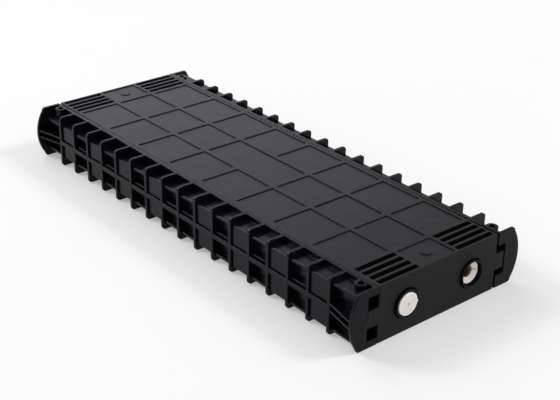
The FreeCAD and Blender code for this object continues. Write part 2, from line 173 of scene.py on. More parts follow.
def miters(outline: np.ndarray) -> np.ndarray:
    """Outward step at each point that moves both neighbouring edges out by one unit.

    Args:
        outline: Points in order, anticlockwise.

    Returns:
        (m + n) / (1 + m.n) for the unit normals m and n of the edges before and after each point.
    """
    edge = np.roll(outline, -1, axis=0) - outline
    after = np.stack([edge[:, 1], -edge[:, 0]], axis=1)
    after /= np.linalg.norm(after, axis=1, keepdims=True)
    before = np.roll(after, 1, axis=0)
    return (before + after) / (1 + (before * after).sum(axis=1, keepdims=True))


def ring_quads(rings: int, count: int, closed: bool = False) -> np.ndarray:
    """Quads between neighbouring rings of points.

    Args:
        rings: Number of rings.
        count: Points in each ring; a ring always closes.
        closed: Whether the last ring joins the first.

    Returns:
        Rows of four vertex numbers, facing out when the rings run anticlockwise and forwards.
    """
    ring = np.arange(rings if closed else rings - 1)[:, None]
    point = np.arange(count)[None, :]
    here, there = ring * count, (ring + 1) % rings * count
    along = (point + 1) % count
    return np.stack([here + point, here + along, there + along, there + point], axis=-1).reshape(-1, 4)


def swept(sections: Sequence[tuple[float, np.ndarray]], axis: Axis, rim: float) -> Patch:
    """Solid through outlines of like points, with rounded rims at both ends.

    Over each rim the ring's lift is rim (1 - cos t) and its inset rim (1 - sin t) for t from nought to a quarter
    turn; between neighbouring sections the wall runs straight from one outline to the next.

    Args:
        sections: Place on the axis and outline of each section, in order; outlines are anticlockwise about the axis.
        axis: Direction of the path.
        rim: Radius of both rims.

    Returns:
        The closed solid.
    """
    places = np.array([place for place, _ in sections])
    outlines = np.stack([outline for _, outline in sections])
    outward = np.stack([miters(outline) for outline in outlines])
    turn = np.linspace(0, math.pi / 2, RIM_STEPS + 1)
    lift, inset = rim * (1 - np.cos(turn)), rim * (1 - np.sin(turn))
    along = np.concatenate([places[0] + lift, places[1:-1], places[-1] - lift[::-1]])
    drawn = np.concatenate([inset, np.zeros(len(places) - 2), inset[::-1]])[:, None, None]
    index = np.clip(np.searchsorted(places, along, side="right") - 1, 0, len(places) - 2)
    share = ((along - places[index]) / np.diff(places)[index])[:, None, None]
    rings = outlines[index] * (1 - share) + outlines[index + 1] * share
    rings -= drawn * (outward[index] * (1 - share) + outward[index + 1] * share)
    points = np.empty(rings.shape[:2] + (3,))
    u, v, w = axis.value
    points[..., u], points[..., v] = rings[..., 0], rings[..., 1]
    points[..., w] = along[:, None]
    count = outlines.shape[1]
    caps = [np.arange(count)[::-1], np.arange(count) + (len(along) - 1) * count]
    return Patch(points.reshape(-1, 3), ring_quads(len(along), count), caps)


def loft(outline: np.ndarray, axis: Axis, start: float, end: float, rim: float) -> Patch:
    """One outline carried straight from start to end, with rounded rims."""
    return swept([(start, outline), (end, outline)], axis, rim)


def revolved(profile: np.ndarray, axis: Axis, closed: bool, count: int) -> Patch:
    """Profile carried once round an axis through the origin.

    A profile point (r, s) becomes r cos a and r sin a on the two cross axes and s along the axis, for angles a
    round the full turn.

    Args:
        profile: Rows of radius and station; the outside runs forwards along the axis.
        axis: Axis of the turn.
        closed: Whether the profile is a loop; otherwise its two ends get flat faces.
        count: Points round the turn.

    Returns:
        The closed solid.
    """
    angle = np.arange(count) * (2 * math.pi / count)
    points = np.empty((len(profile), count, 3))
    u, v, w = axis.value
    points[..., u] = profile[:, :1] * np.cos(angle)
    points[..., v] = profile[:, :1] * np.sin(angle)
    points[..., w] = profile[:, 1:]
    last = (len(profile) - 1) * count
    caps = [] if closed else [np.arange(count)[::-1], np.arange(count) + last]
    return Patch(points.reshape(-1, 3), ring_quads(len(profile), count, closed), caps)


def linear(code: str) -> tuple[float, float, float, float]:
    """An sRGB hex colour as linear red, green, blue and full alpha.

    Args:
        code: Colour such as "#2A2A2D".

    Returns:
        Linear channels from nought to one.
    """
    channels = [int(code[k : k + 2], 16) / 255 for k in (1, 3, 5)]
    return (*[c / 12.92 if c <= 0.04045 else ((c + 0.055) / 1.055) ** 2.4 for c in channels], 1.0)


def per_metre(size_mm: float) -> float:
    """Pattern scale whose features are about the given size across, in millimetres."""
    return 1 / (size_mm * MM)


def add_node(tree: bpy.types.NodeTree, kind: str, inputs: dict[Any, Any] | None = None, **settings: Any) -> Any:
    """Adds one node with its settings and links.

    Args:
        tree: Node tree that gets the node.
        kind: Node type's identifier.
        inputs: Input socket, by name or number, to a value or to the socket that is linked to it.
        **settings: The node's own properties.

    Returns:
        The new node.
    """
    node = tree.nodes.new(kind)
    for name, value in settings.items():
        setattr(node, name, value)
    for key, value in (inputs or {}).items():
        if isinstance(value, bpy.types.NodeSocket):
            tree.links.new(value, node.inputs[key])
        else:
            node.inputs[key].default_value = value
    return node


def fresh_material(name: str) -> tuple[bpy.types.Material, bpy.types.NodeTree, bpy.types.NodeSocket]:
    """Starts a material.

    Args:
        name: The material's name.

    Returns:
        The material, its empty node tree and a socket with the piece's own coordinates.
    """
    material = bpy.data.materials.new(name)
    material.use_nodes = True
    tree = material.node_tree
    tree.nodes.clear()
    return material, tree, add_node(tree, "ShaderNodeTexCoord").outputs["Object"]


@dataclass(frozen=True)
class MouldedPolymer:
    """Injection moulded plastic or rubber from a spark-eroded tool.

    The tool's texture leaves a fine even grain that breaks up reflections. The melt's flow and shrinkage leave
    faint cloudy patches of deeper and paler tone and a slight unevenness that makes the gloss waver.

    Attributes:
        name: Name of the real material.
        deep: Colour of the darker patches.
        pale: Colour of the paler patches.
        roughness: Lowest and highest roughness.
        end_roughness: Roughness that the two end faces have on top, from a coarser tool.
        end_mm: Place along the length from which a face counts as an end face.
        end_fade_mm: Length over which it comes to count.
        specular: Specular level; a grained surface reflects less than a polished one.
        sheen: Colour of its gloss; a cool one is a painted tint that stands for bluish light from the left.
        ior: Refractive index.
        grain_mm: Grain of the tool's texture, drawn coarse enough to show.
        grain_depth_mm: Height of the grain.
        flow_mm: Width of the flow patches.
        flow_share: Weight of the flow patches beside the grain in the gloss.
        gloss_span: Sums of both patterns between which the roughness goes from lowest to highest.
        sink_depth_mm: Height of the unevenness.
    """

    name: str
    deep: str
    pale: str
    roughness: tuple[float, float] = (0.28, 0.38)
    end_roughness: float = 0.0
    end_mm: float = 204.0
    end_fade_mm: float = 1.0
    specular: float = 0.22
    sheen: str = "#FFFFFF"
    ior: float = 1.49
    grain_mm: float = 0.7
    grain_depth_mm: float = 0.02
    flow_mm: float = 24.0
    flow_share: float = 0.6
    gloss_span: tuple[float, float] = (0.4, 1.2)
    sink_depth_mm: float = 0.12

    def build(self) -> bpy.types.Material:
        """Builds the material, with its patterns on the piece's own coordinates.

        The roughness follows grain + share x flow, and a face gets the end's own roughness on top in proportion to
        how squarely it looks along the length.

        Returns:
            The material.
        """
        material, tree, place = fresh_material(self.name)
        flow = add_node(
            tree,
            "ShaderNodeTexNoise",
            {"Vector": place, "Scale": per_metre(self.flow_mm), "Detail": 4.0, "Roughness": 0.6, "Distortion": 0.6},
        )
        grain = add_node(
            tree, "ShaderNodeTexNoise", {"Vector": place, "Scale": per_metre(self.grain_mm), "Detail": 3.0}
        )
        tone = add_node(
            tree,
            "ShaderNodeMix",
            {SHARE: flow.outputs["Fac"], COLOUR_A: linear(self.deep), COLOUR_B: linear(self.pale)},
            data_type="RGBA",
        )
        patchy = add_node(
            tree,
            "ShaderNodeMath",
            {0: flow.outputs["Fac"], 1: self.flow_share, 2: grain.outputs["Fac"]},
            operation="MULTIPLY_ADD",
        )
        gloss = add_node(
            tree,
            "ShaderNodeMapRange",
            {
                "Value": patchy.outputs[0],
                "From Min": self.gloss_span[0],
                "From Max": self.gloss_span[1],
                "To Min": self.roughness[0],
                "To Max": self.roughness[1],
            },
        )
        facing = add_node(
            tree,
            "ShaderNodeSeparateXYZ",
            {0: add_node(tree, "ShaderNodeNewGeometry").outputs["True Normal"]},
        )
        across = add_node(tree, "ShaderNodeMath", {0: facing.outputs["X"]}, operation="ABSOLUTE")
        along = add_node(tree, "ShaderNodeSeparateXYZ", {0: place}).outputs["X"]
        outward = add_node(tree, "ShaderNodeMath", {0: along}, operation="ABSOLUTE")
        extra = add_node(
            tree,
            "ShaderNodeMapRange",
            {
                "Value": outward.outputs[0],
                "From Min": (self.end_mm - self.end_fade_mm) * MM,
                "From Max": self.end_mm * MM,
                "To Min": 0.0,
                "To Max": self.end_roughness,
            },
        )
        coarse = add_node(
            tree,
            "ShaderNodeMath",
            {0: across.outputs[0], 1: extra.outputs["Result"], 2: gloss.outputs["Result"]},
            operation="MULTIPLY_ADD",
        )
        sink = add_node(tree, "ShaderNodeBump", {"Height": flow.outputs["Fac"], "Distance": self.sink_depth_mm * MM})
        bump = add_node(
            tree,
            "ShaderNodeBump",
            {
                "Height": grain.outputs["Fac"],
                "Strength": 0.5,
                "Distance": self.grain_depth_mm * MM,
                "Normal": sink.outputs["Normal"],
            },
        )
        shader = add_node(
            tree,
            "ShaderNodeBsdfPrincipled",
            {
                "Base Color": tone.outputs[MIXED],
                "Roughness": coarse.outputs[0],
                "Normal": bump.outputs["Normal"],
                "Specular IOR Level": self.specular,
                "Specular Tint": linear(self.sheen),
                "IOR": self.ior,
            },
        )
        add_node(tree, "ShaderNodeOutputMaterial", {"Surface": shader.outputs[0]})
        return material


# Roof and base: near black with a broad soft sheen that wavers a little
SHELL_PLASTIC = MouldedPolymer(
    "moulded_black_polypropylene",
    deep="#09090B",
    pale="#121215",
    roughness=(0.26, 0.4),
    end_roughness=0.33,
    sink_depth_mm=0.22,
)
# Rails: deeper black and glossier, so that their edges catch the light; their gloss has a painted cool tint for the
# bluish light from the left
RAIL_PLASTIC = MouldedPolymer(
    "moulded_black_polypropylene_rail",
    deep="#07070B",
    pale="#0C0C12",
    roughness=(0.18, 0.3),
    end_roughness=0.3,
    specular=0.155,
    sheen="#F6F5FF",
    grain_mm=0.6,
)
# Rings and cords: dull deep black
SEAL_RUBBER = MouldedPolymer(
    "moulded_black_rubber", deep="#040405", pale="#09090A", roughness=(0.4, 0.5), specular=0.1, grain_mm=0.4
)
# Trays and combs, which only show when the closure is open: pale grey, and mid grey with little gloss
TRAY_PLASTIC = MouldedPolymer("moulded_pale_plastic", deep="#B9B9B4", pale="#CFCFCA", specular=0.45)
COMB_RUBBER = MouldedPolymer("moulded_grey_rubber", deep="#4A4B50", pale="#5A5B60", grain_mm=0.4)


@dataclass(frozen=True)
class NaturalPolyethylene:
    """Unpigmented polyethylene, moulded through a gate in the middle of its face.

    It is waxy and warm white, lets a little light in, and shows faint streaks where the melt ran out from the
    gate. The rim is painted paler as a painted highlight. Inside a sleeve the bore's wall gets painted shade, amber
    and then dark brown with depth.

    Attributes:
        name: Name of the real material.
        deep: Colour of the darker streaks.
        pale: Colour of the paler streaks.
        rim: Colour of the rim, a painted highlight.
        gate: Colour of the dull spot that the gate leaves.
        gate_mm: Radii between which the spot turns into the face.
        rim_mm: Radii between which the face turns into the painted highlight of the rim.
        streaks: Streaks in a sixth of the way round.
        streak_run: Changes of a streak in each millimetre of its length.
        streak_depth_mm: Height of the streaks.
        roughness: Lowest and highest roughness.
        specular: Specular level.
        ior: Refractive index.
        scatter: Share of the light that goes in.
        scatter_mm: Depth to which light goes in.
        scatter_tint: Depths of red, green and blue beside each other.
        bore_shade: Colours of the painted shade in a sleeve's bore, first near the mouth and then deeper; none for a
            plug.
        grease_mm: Places along the closure at which the painted shade starts, is full, and turns dark brown.
        bore_mm: Radius of the sleeve's bore.
        smear_mm: Width of the painted shade's edge round the bore.
    """

    name: str = "natural_polyethylene"
    deep: str = "#DFD7D1"
    pale: str = "#F4EEEA"
    rim: str = "#FDFBF9"
    gate: str = "#ADA49E"
    gate_mm: tuple[float, float] = (0.4, 1.4)
    rim_mm: tuple[float, float] = (7.7, 8.3)
    streaks: float = 5.0
    streak_run: float = 0.12
    streak_depth_mm: float = 0.05
    roughness: tuple[float, float] = (0.36, 0.5)
    specular: float = 0.4
    ior: float = 1.51
    scatter: float = 0.12
    scatter_mm: float = 0.8
    scatter_tint: tuple[float, float, float] = (1.0, 0.9, 0.8)
    bore_shade: tuple[str, ...] = ()
    grease_mm: tuple[float, float, float] = (203.0, 202.2, 199.0)
    bore_mm: float = 4.6
    smear_mm: float = 0.25

    def shaded_bore(self, tree: bpy.types.NodeTree, place: Any, radius: Any, clean: Any) -> Any:
        """Paints shade on the wall of a sleeve's bore.

        The painted shade's share is its share by the distance from the axis times its share by the depth, and its
        colour goes from the first to the second with the depth.

        Args:
            tree: The material's node tree.
            place: Socket with the piece's own coordinates.
            radius: Socket with the distance from the port's axis in millimetres.
            clean: Socket with the colour before the painted shade.

        Returns:
            Socket with the colour with the painted shade.
        """
        along = add_node(tree, "ShaderNodeSeparateXYZ", {0: place}).outputs["X"]
        start, full, deep = (mm * MM for mm in self.grease_mm)
        inside = add_node(
            tree,
            "ShaderNodeMapRange",
            {
                "Value": radius,
                "From Min": self.bore_mm,
                "From Max": self.bore_mm + self.smear_mm,
                "To Min": 1.0,
                "To Max": 0.0,
            },
        )
        reach = add_node(
            tree,
            "ShaderNodeMapRange",
            {"Value": along, "From Min": full, "From Max": start, "To Min": 1.0, "To Max": 0.0},
        )
        share = add_node(
            tree, "ShaderNodeMath", {0: inside.outputs["Result"], 1: reach.outputs["Result"]}, operation="MULTIPLY"
        )
        deepening = add_node(
            tree,
            "ShaderNodeMapRange",
            {"Value": along, "From Min": deep, "From Max": full, "To Min": 1.0, "To Max": 0.0},
        )
        # Painted shade: amber near the mouth, going dark brown deeper in the bore
        shade_tone = add_node(
            tree,
            "ShaderNodeMix",
            {SHARE: deepening.outputs["Result"], COLOUR_A: linear(self.bore_shade[0]), COLOUR_B: linear(self.bore_shade[1])},
            data_type="RGBA",
        )
        tone = add_node(
            tree,
            "ShaderNodeMix",
            {SHARE: share.outputs[0], COLOUR_A: clean, COLOUR_B: shade_tone.outputs[MIXED]},
            data_type="RGBA",
        )
        return tone.outputs[MIXED]

    def build(self) -> bpy.types.Material:
        """Builds the material, with streaks that run out from the port's axis by the piece's own attribute.

        The attribute holds the cosine and sine of the angle round the axis and the distance from it.

        Returns:
            The material.
        """
        material, tree, place = fresh_material(self.name)
        around = add_node(tree, "ShaderNodeAttribute", attribute_name="around").outputs["Vector"]
        radius = add_node(tree, "ShaderNodeSeparateXYZ", {0: around}).outputs["Z"]
        fan = add_node(
            tree, "ShaderNodeMapping", {"Vector": around, "Scale": (self.streaks, self.streaks, self.streak_run)}
        )
        streak = add_node(
            tree, "ShaderNodeTexNoise", {"Vector": fan.outputs["Vector"], "Scale": 1.0, "Detail": 3.0}
        )
        face = add_node(
            tree,
            "ShaderNodeMix",
            {SHARE: streak.outputs["Fac"], COLOUR_A: linear(self.deep), COLOUR_B: linear(self.pale)},
            data_type="RGBA",
        )
        # Painted highlight: the rim is painted paler than the face
        rim = add_node(
            tree,
            "ShaderNodeMapRange",
            {"Value": radius, "From Min": self.rim_mm[0], "From Max": self.rim_mm[1], "To Min": 0.0, "To Max": 1.0},
        )
        tone = add_node(
            tree,
            "ShaderNodeMix",
            {SHARE: rim.outputs["Result"], COLOUR_A: face.outputs[MIXED], COLOUR_B: linear(self.rim)},
            data_type="RGBA",
        ).outputs[MIXED]
        spot = add_node(
            tree, "ShaderNodeMapRange", {"Value": radius, "From Min": self.gate_mm[0], "From Max": self.gate_mm[1]}
        )
        tone = add_node(
            tree,
            "ShaderNodeMix",
            {SHARE: spot.outputs["Result"], COLOUR_A: linear(self.gate), COLOUR_B: tone},
            data_type="RGBA",
        ).outputs[MIXED]
        if self.bore_shade:
            tone = self.shaded_bore(tree, place, radius, tone)
        gloss = add_node(
            tree,
            "ShaderNodeMapRange",
            {"Value": streak.outputs["Fac"], "To Min": self.roughness[0], "To Max": self.roughness[1]},
        )
        bump = add_node(
            tree,
            "ShaderNodeBump",
            {"Height": streak.outputs["Fac"], "Strength": 0.25, "Distance": self.streak_depth_mm * MM},
        )
        shader = add_node(
            tree,
            "ShaderNodeBsdfPrincipled",
            {
                "Base Color": tone,
                "Roughness": gloss.outputs["Result"],
                "Normal": bump.outputs["Normal"],
                "Specular IOR Level": self.specular,
                "IOR": self.ior,
                "Subsurface Weight": self.scatter,
                "Subsurface Radius": self.scatter_tint,
                "Subsurface Scale": self.scatter_mm * MM,
            },
        )
        add_node(tree, "ShaderNodeOutputMaterial", {"Surface": shader.outputs[0]})
        return material


# Both get a painted highlight on the rim; only the sleeve's bore gets painted shade, amber at the mouth and dark brown
# deeper in
PLUG_PLASTIC = NaturalPolyethylene()
SLEEVE_PLASTIC = NaturalPolyethylene("natural_polyethylene_greased", bore_shade=("#8F7444", "#2A2013"))


@dataclass(frozen=True)
class Metal:
    """Plain metal with the fine lines of rolling, turning or drawing.

    Attributes:
        name: Name of the real material.
        colour: Colour of a clean face.
        roughness: Lowest and highest roughness.
        line_mm: Spacing of the lines, drawn coarse enough to show.
        line_depth_mm: Depth of the lines.
        run_mm: Length of the lines.
    """

    name: str
    colour: str
    roughness: tuple[float, float] = (0.28, 0.42)
    line_mm: float = 0.5
    line_depth_mm: float = 0.01
    run_mm: float = 12.0

    def build(self) -> bpy.types.Material:
        """Builds the material, with its lines along the closure's length.

        Returns:
            The material.
        """
        material, tree, place = fresh_material(self.name)
        stretched = add_node(
            tree,
            "ShaderNodeMapping",
            {"Vector": place, "Scale": (per_metre(self.run_mm), per_metre(self.line_mm), per_metre(self.line_mm))},
        )
        lines = add_node(tree, "ShaderNodeTexNoise", {"Vector": stretched.outputs["Vector"], "Scale": 1.0})
        gloss = add_node(
            tree,
            "ShaderNodeMapRange",
            {"Value": lines.outputs["Fac"], "To Min": self.roughness[0], "To Max": self.roughness[1]},
        )
        bump = add_node(
            tree,
            "ShaderNodeBump",
            {"Height": lines.outputs["Fac"], "Strength": 0.3, "Distance": self.line_depth_mm * MM},
        )
        shader = add_node(
            tree,
            "ShaderNodeBsdfPrincipled",
            {
                "Base Color": linear(self.colour),
                "Metallic": 1.0,
                "Roughness": gloss.outputs["Result"],
                "Normal": bump.outputs["Normal"],
            },
        )
        add_node(tree, "ShaderNodeOutputMaterial", {"Surface": shader.outputs[0]})
        return material


# Metals inside: pale sheet, yellow brass and brighter turned steel
FRAME_STEEL = Metal("zinc_plated_steel_sheet", "#B4B6B8")
CLAMP_BRASS = Metal("drawn_brass", "#B7954E")
FASTENER_STEEL = Metal("turned_plated_steel", "#AEB0B3", line_mm=0.3)


@dataclass(frozen=True)
class ClearSheet:
    """Thin clear polycarbonate sheet, faintly grey, with a polished face.

    Attributes:
        name: Name of the real material.
        colour: Tint of the sheet.
        roughness: Lowest and highest roughness.
        ior: Refractive index.
        clearness: Share of the light that goes through.
        haze_mm: Width of the faint clouds in its polish.
    """

    name: str = "clear_polycarbonate_sheet"
    colour: str = "#E6ECEE"
    roughness: tuple[float, float] = (0.04, 0.12)
    ior: float = 1.58
    clearness: float = 0.9
    haze_mm: float = 15.0

    def build(self) -> bpy.types.Material:
        """Builds the material, with a clouded polish.

        Returns:
            The material.
        """
        material, tree, place = fresh_material(self.name)
        haze = add_node(tree, "ShaderNodeTexNoise", {"Vector": place, "Scale": per_metre(self.haze_mm)})
        gloss = add_node(
            tree,
            "ShaderNodeMapRange",
            {"Value": haze.outputs["Fac"], "To Min": self.roughness[0], "To Max": self.roughness[1]},
        )
        shader = add_node(
            tree,
            "ShaderNodeBsdfPrincipled",
            {
                "Base Color": linear(self.colour),
                "Roughness": gloss.outputs["Result"],
                "IOR": self.ior,
                "Transmission Weight": self.clearness,
            },
        )
        add_node(tree, "ShaderNodeOutputMaterial", {"Surface": shader.outputs[0]})
        return material


def smooth(mesh: bpy.types.Mesh) -> None:
    """Shades a mesh smooth, apart from edges sharper than the limit."""
    mesh.shade_smooth()
    mesh.set_sharp_from_angle(angle=SHARP_ANGLE)


def new_object(name: str, data: bpy.types.ID) -> bpy.types.Object:
    """Puts a mesh, lamp or camera into the scene as an object at the origin.

    Args:
        name: The object's name.
        data: Its mesh, lamp or camera.

    Returns:
        The object.
    """
    made = bpy.data.objects.new(name, data)
    bpy.context.scene.collection.objects.link(made)
    return made


def finished(
    name: str, mesh: bpy.types.Mesh, material: bpy.types.Material, body: str, nodes: Sequence[str]
) -> bpy.types.Object:
    """Makes a piece that stands for nodes of the frame.

    Args:
        name: The piece's name.
        mesh: Its mesh, in place.
        material: Its finish.
        body: Body that it moves with.
        nodes: Nodes that it stands for.

    Returns:
        The piece.
    """
    smooth(mesh)
    mesh.materials.clear()
    mesh.materials.append(material)
    piece = new_object(name, mesh)
    piece.modifiers.new("even_faces", "WEIGHTED_NORMAL").keep_sharp = True
    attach(piece, body)
    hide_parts(*nodes)
    LOG.info("%s: %d faces", name, len(mesh.polygons))
    return piece


def fused(name: str, solids: Sequence[Patch], cutters: Sequence[Patch] = ()) -> bpy.types.Mesh:
    """One skin round overlapping solids, less the cutters.

    Args:
        name: Name of the mesh.
        solids: Closed solids to join.
        cutters: Closed solids to take away.

    Returns:
        The joined mesh.
    """
    base = new_object(name, solids[0].mesh(name))
    helpers = [base]
    for operation, patches in (("UNION", solids[1:]), ("DIFFERENCE", cutters)):
        if not patches:
            continue
        group = bpy.data.collections.new(name + operation)
        bpy.context.scene.collection.children.link(group)
        for patch in patches:
            helper = bpy.data.objects.new(name, patch.mesh(name))
            group.objects.link(helper)
            helpers.append(helper)
        step = base.modifiers.new(operation, "BOOLEAN")
        step.operation = operation
        step.solver = "MANIFOLD"
        step.operand_type = "COLLECTION"
        step.collection = group
    graph = bpy.context.evaluated_depsgraph_get()
    made = bpy.data.meshes.new_from_object(base.evaluated_get(graph))
    for helper in helpers:
        bpy.data.objects.remove(helper)
    return made


@dataclass
class ClampRail:
    """Ribbed rail whose tapered channel grips the shells' tongues.

    Drawn on the right side, with the channel's wide end far and its narrow end near; the left rail is the same
    moulding turned half round. Sizes are in millimetres: places across are distances from the closure's middle, and
    levels are heights above the floor.

    Attributes:
        side: Side of the closure.
        half_length: Half the rail's length.
        height: Height of the rail.
        inner: Inner face, beside the shell.
        relief: Place along the rail from which the inner face draws back, and by how much in each millimetre.
        strip: Outer face of the strip beside the roof.
        web: Inner and outer face of the web that closes the channel.
        panel: Face of the flat panels and edge of the shelf.
        rib_face: Face of the ribs.
        rib_wall: Thickness of a rib.
        rib_corner: Radius of the outer corners of ribs and end plates.
        rib_pitch: Spacing of the ribs.
        rib_count: Number of ribs.
        bays: Kinds of the bays between the ribs, from the far end.
        channel: Half height of the channel at its wide and its narrow end.
        shelf_wall: Thickness of the shelf over the channel.
        shelf_round: Radius of the shelf's outer edge.
        lip_reach: Place along the rail to which the lips go, both ways.
        lip_half: Half height of the gap between the lips.
        groove: Levels of the fine groove in a flat panel.
        groove_depth: Depth of the groove.
        bay_ribs: Lower level, upper level and face of each lengthwise rib; the first one crosses every bay.
        end_ribs: Levels of the lengthwise ribs in the end bays.
        flare_setback: How far these lie behind the ribs' face at one end and behind the bulge's crest at the other.
        plate: Thickness of an end plate.
        plate_face: Outer face of an end plate at its corners.
        bulge: Crest of an end plate's bulge.
        bulge_steps: Straight pieces in the bulge's arc.
        boss: Outer radius and bore radius of a ring boss.
        boss_inset: Distance of a boss from the rail's end.
        boss_side: Distance of a boss from the strip.
        boss_round: Radius of a boss's rim.
        boss_core: Radius of a boss's flat middle, which the bore takes away.
        boss_count: Points round a boss.
        countersink: Width and depth of the bevel round a boss's bore.
        step: Depth, width and height over the seam of the step in the channel's wide mouth.
        edge: Radius of the edges of ribs and end plates.
        corner: Radius of the corners of a section.
        root: Radius between shelf and strip.
        fine: Radius of edges that hardly show.
        hidden: Radius of rims that lie inside another solid.
        flare_rim: Radius of the rims of flared ribs and lips.
        pocket_rim: Radius of the rims of the hollows behind the panels.
        overlap: How far one solid reaches into the next.
        cover: Small offset that keeps faces of two solids from lying in one plane.
        past: How far a cutter goes past the face that it opens, or a hidden face stays inside.
    """

    side: Side
    half_length: float = 206.0
    height: float = 46.0
    inner: float = 59.8
    relief: tuple[float, float] = (126.0, 0.0173)
    strip: float = 63.7
    web: tuple[float, float] = (69.7, 71.9)
    panel: float = 76.9
    rib_face: float = 78.6
    rib_wall: float = 2.8
    rib_corner: float = 2.8
    rib_pitch: float = 22.0
    rib_count: int = 17
    bays: str = "FDFDFDFDDFDFDFDF"
    channel: tuple[float, float] = (17.4, 12.4)
    shelf_wall: float = 2.3
    shelf_round: float = 1.1
    lip_reach: float = 160.0
    lip_half: float = 7.3
    groove: tuple[float, float] = (23.8, 24.8)
    groove_depth: float = 0.8
    bay_ribs: tuple[tuple[float, float, float], ...] = ((20.4, 24.2, 78.5), (24.8, 26.4, 76.3))
    end_ribs: tuple[tuple[float, float], ...] = ((19.4, 20.8), (25.0, 26.4))
    flare_setback: tuple[float, float] = (0.3, 0.9)
    plate: float = 2.6
    plate_face: float = 79.0
    bulge: float = 85.15
    bulge_steps: int = 24
    boss: tuple[float, float] = (4.75, 2.4)
    boss_inset: float = 11.7
    boss_side: float = 2.4
    boss_round: float = 0.5
    boss_core: float = 1.0
    boss_count: int = 40
    countersink: float = 0.35
    step: tuple[float, float, float] = (1.4, 4.0, 0.3)
    edge: float = 0.45
    corner: float = 0.5
    root: float = 0.2
    fine: float = 0.2
    hidden: float = 0.1
    flare_rim: float = 0.3
    pocket_rim: float = 0.4
    overlap: float = 0.6
    cover: float = 0.03
    past: float = 1.0

    @property
    def node(self) -> str:
        """Name of the rail's node in the frame."""
        return "clamp_rail_" + self.side.name.lower()

    @property
    def seam(self) -> float:
        """Level of the seam between the shells."""
        return self.height / 2

    def clear(self, x: float) -> float:
        """Half height of the channel at x, which falls evenly from the wide end to the narrow one."""
        wide, narrow = self.channel
        return narrow + (wide - narrow) * (self.half_length - x) / (2 * self.half_length)

    def inner_at(self, x: float) -> float:
        """Inner face at x, which draws back from the shell towards the narrow end."""
        start, slope = self.relief
        return self.inner + max(0.0, x - start) * slope

    def roof(self, x: float) -> float:
        """Level of the channel's roof at x."""
        return self.seam + self.clear(x)

    def shelf(self, x: float) -> float:
        """Level of the shelf's upper face at x."""
        return self.roof(x) + self.shelf_wall

    def flipped(self, outline: np.ndarray) -> np.ndarray:
        """An outline of y and z mirrored in the seam, still anticlockwise."""
        return (outline * (1, -1) + (0, self.height))[::-1]

    def beam_outline(self, x: float) -> np.ndarray:
        """Section of the strip, shelf and web, without the lips.

        Its upper half goes out under the shelf, back over it, up and down the strip and along the channel's roof to
        the web; its lower half is the same mirrored in the seam.

        Args:
            x: Place along the rail.

        Returns:
            The closed outline.
        """
        roof, shelf, high, inner = self.roof(x), self.shelf(x), self.height, self.inner_at(x)
        web_in, web_out = self.web
        outer = [(web_out, roof), (self.panel, roof), (self.panel, shelf), (self.strip, shelf)]
        upper = outer + [(self.strip, high), (inner, high), (inner, roof), (web_in, roof)]
        lower = [(y, high - z) for y, z in reversed(upper)]
        radii = np.full(len(upper), self.corner)
        radii[2:4] = self.shelf_round, self.root
        return rounded_outline(upper + lower, np.concatenate([radii, radii[::-1]]))

    def open_outline(self, x: float, outer: np.ndarray) -> np.ndarray:
        """Section with the given outer edge and the channel at x cut out of its inner side.

        Args:
            x: Place along the rail.
            outer: Outer edge from the foot to the crown, anticlockwise.

        Returns:
            The closed outline.
        """
        roof, web, inner = self.roof(x), self.web[0], self.inner_at(x)
        mouth = [(inner, roof), (web, roof), (web, self.height - roof), (inner, self.height - roof)]
        return np.concatenate([outer, np.asarray(mouth)])

    def rib(self, x: float) -> Patch:
        """One upright rib: an upright section with rounded outer corners, carried over the rib's thickness.

        Args:
            x: Place of the rib's middle along the rail.

        Returns:
            The rib.
        """
        inner, face = self.inner_at(x), self.rib_face
        corners = [(inner, 0.0), (face, 0.0), (face, self.height), (inner, self.height)]
        radii = [self.corner, self.rib_corner, self.rib_corner, self.corner]
        outline = self.open_outline(x, rounded_outline(corners, radii, FINE_STEPS))
        return loft(outline, Axis.X, x - self.rib_wall / 2, x + self.rib_wall / 2, self.edge)

    def plate_edge(self, x: float) -> np.ndarray:
        """Outer edge of an end plate: foot, round corner, arc of the bulge, round corner and crown.

        The bulge is the circle through both corners and the crest: with half chord h and rise s its radius is
        (h h + s s) / 2 s.

        Args:
            x: Place of the plate along the rail.

        Returns:
            The edge's points from the foot to the crown.
        """
        chord, rise = self.seam - self.rib_corner, self.bulge - self.plate_face
        radius = (chord**2 + rise**2) / (2 * rise)
        sweep = np.linspace(-1, 1, self.bulge_steps + 1) * math.asin(chord / radius)
        middle = self.bulge - radius
        arc = np.stack([middle + radius * np.cos(sweep), self.seam + radius * np.sin(sweep)], axis=1)
        turn = np.linspace(0, math.pi / 2, FINE_STEPS + 1)[:-1]
        centre = self.plate_face - self.rib_corner
        low = np.stack([centre + self.rib_corner * np.sin(turn), self.rib_corner * (1 - np.cos(turn))], axis=1)
        foot = rounded_outline([(self.inner_at(x), 0.0), (centre, 0.0), (centre, self.height)], self.corner)
        foot = foot[: RIM_STEPS + 1]
        return np.concatenate([foot, low, arc, self.flipped(low), self.flipped(foot)])

    def end_plates(self) -> list[Patch]:
        """Both end plates, whose window is the mouth of the channel.

        Each is the section with the bulged outer edge, carried over the plate's thickness.

        Returns:
            The far plate and the near one.
        """
        half, middle = self.plate / 2, self.half_length - self.plate / 2
        outlines = {x: self.open_outline(x, self.plate_edge(x)) for x in (-middle, middle)}
        return [loft(outline, Axis.X, x - half, x + half, self.edge) for x, outline in outlines.items()]

    def bay(self, index: int, margin: float) -> tuple[float, float]:
        """Clear length of a bay, with a margin into the ribs beside it."""
        start = (index - (self.rib_count - 1) / 2) * self.rib_pitch + self.rib_wall / 2
        return start - margin, start + self.rib_pitch - self.rib_wall + margin

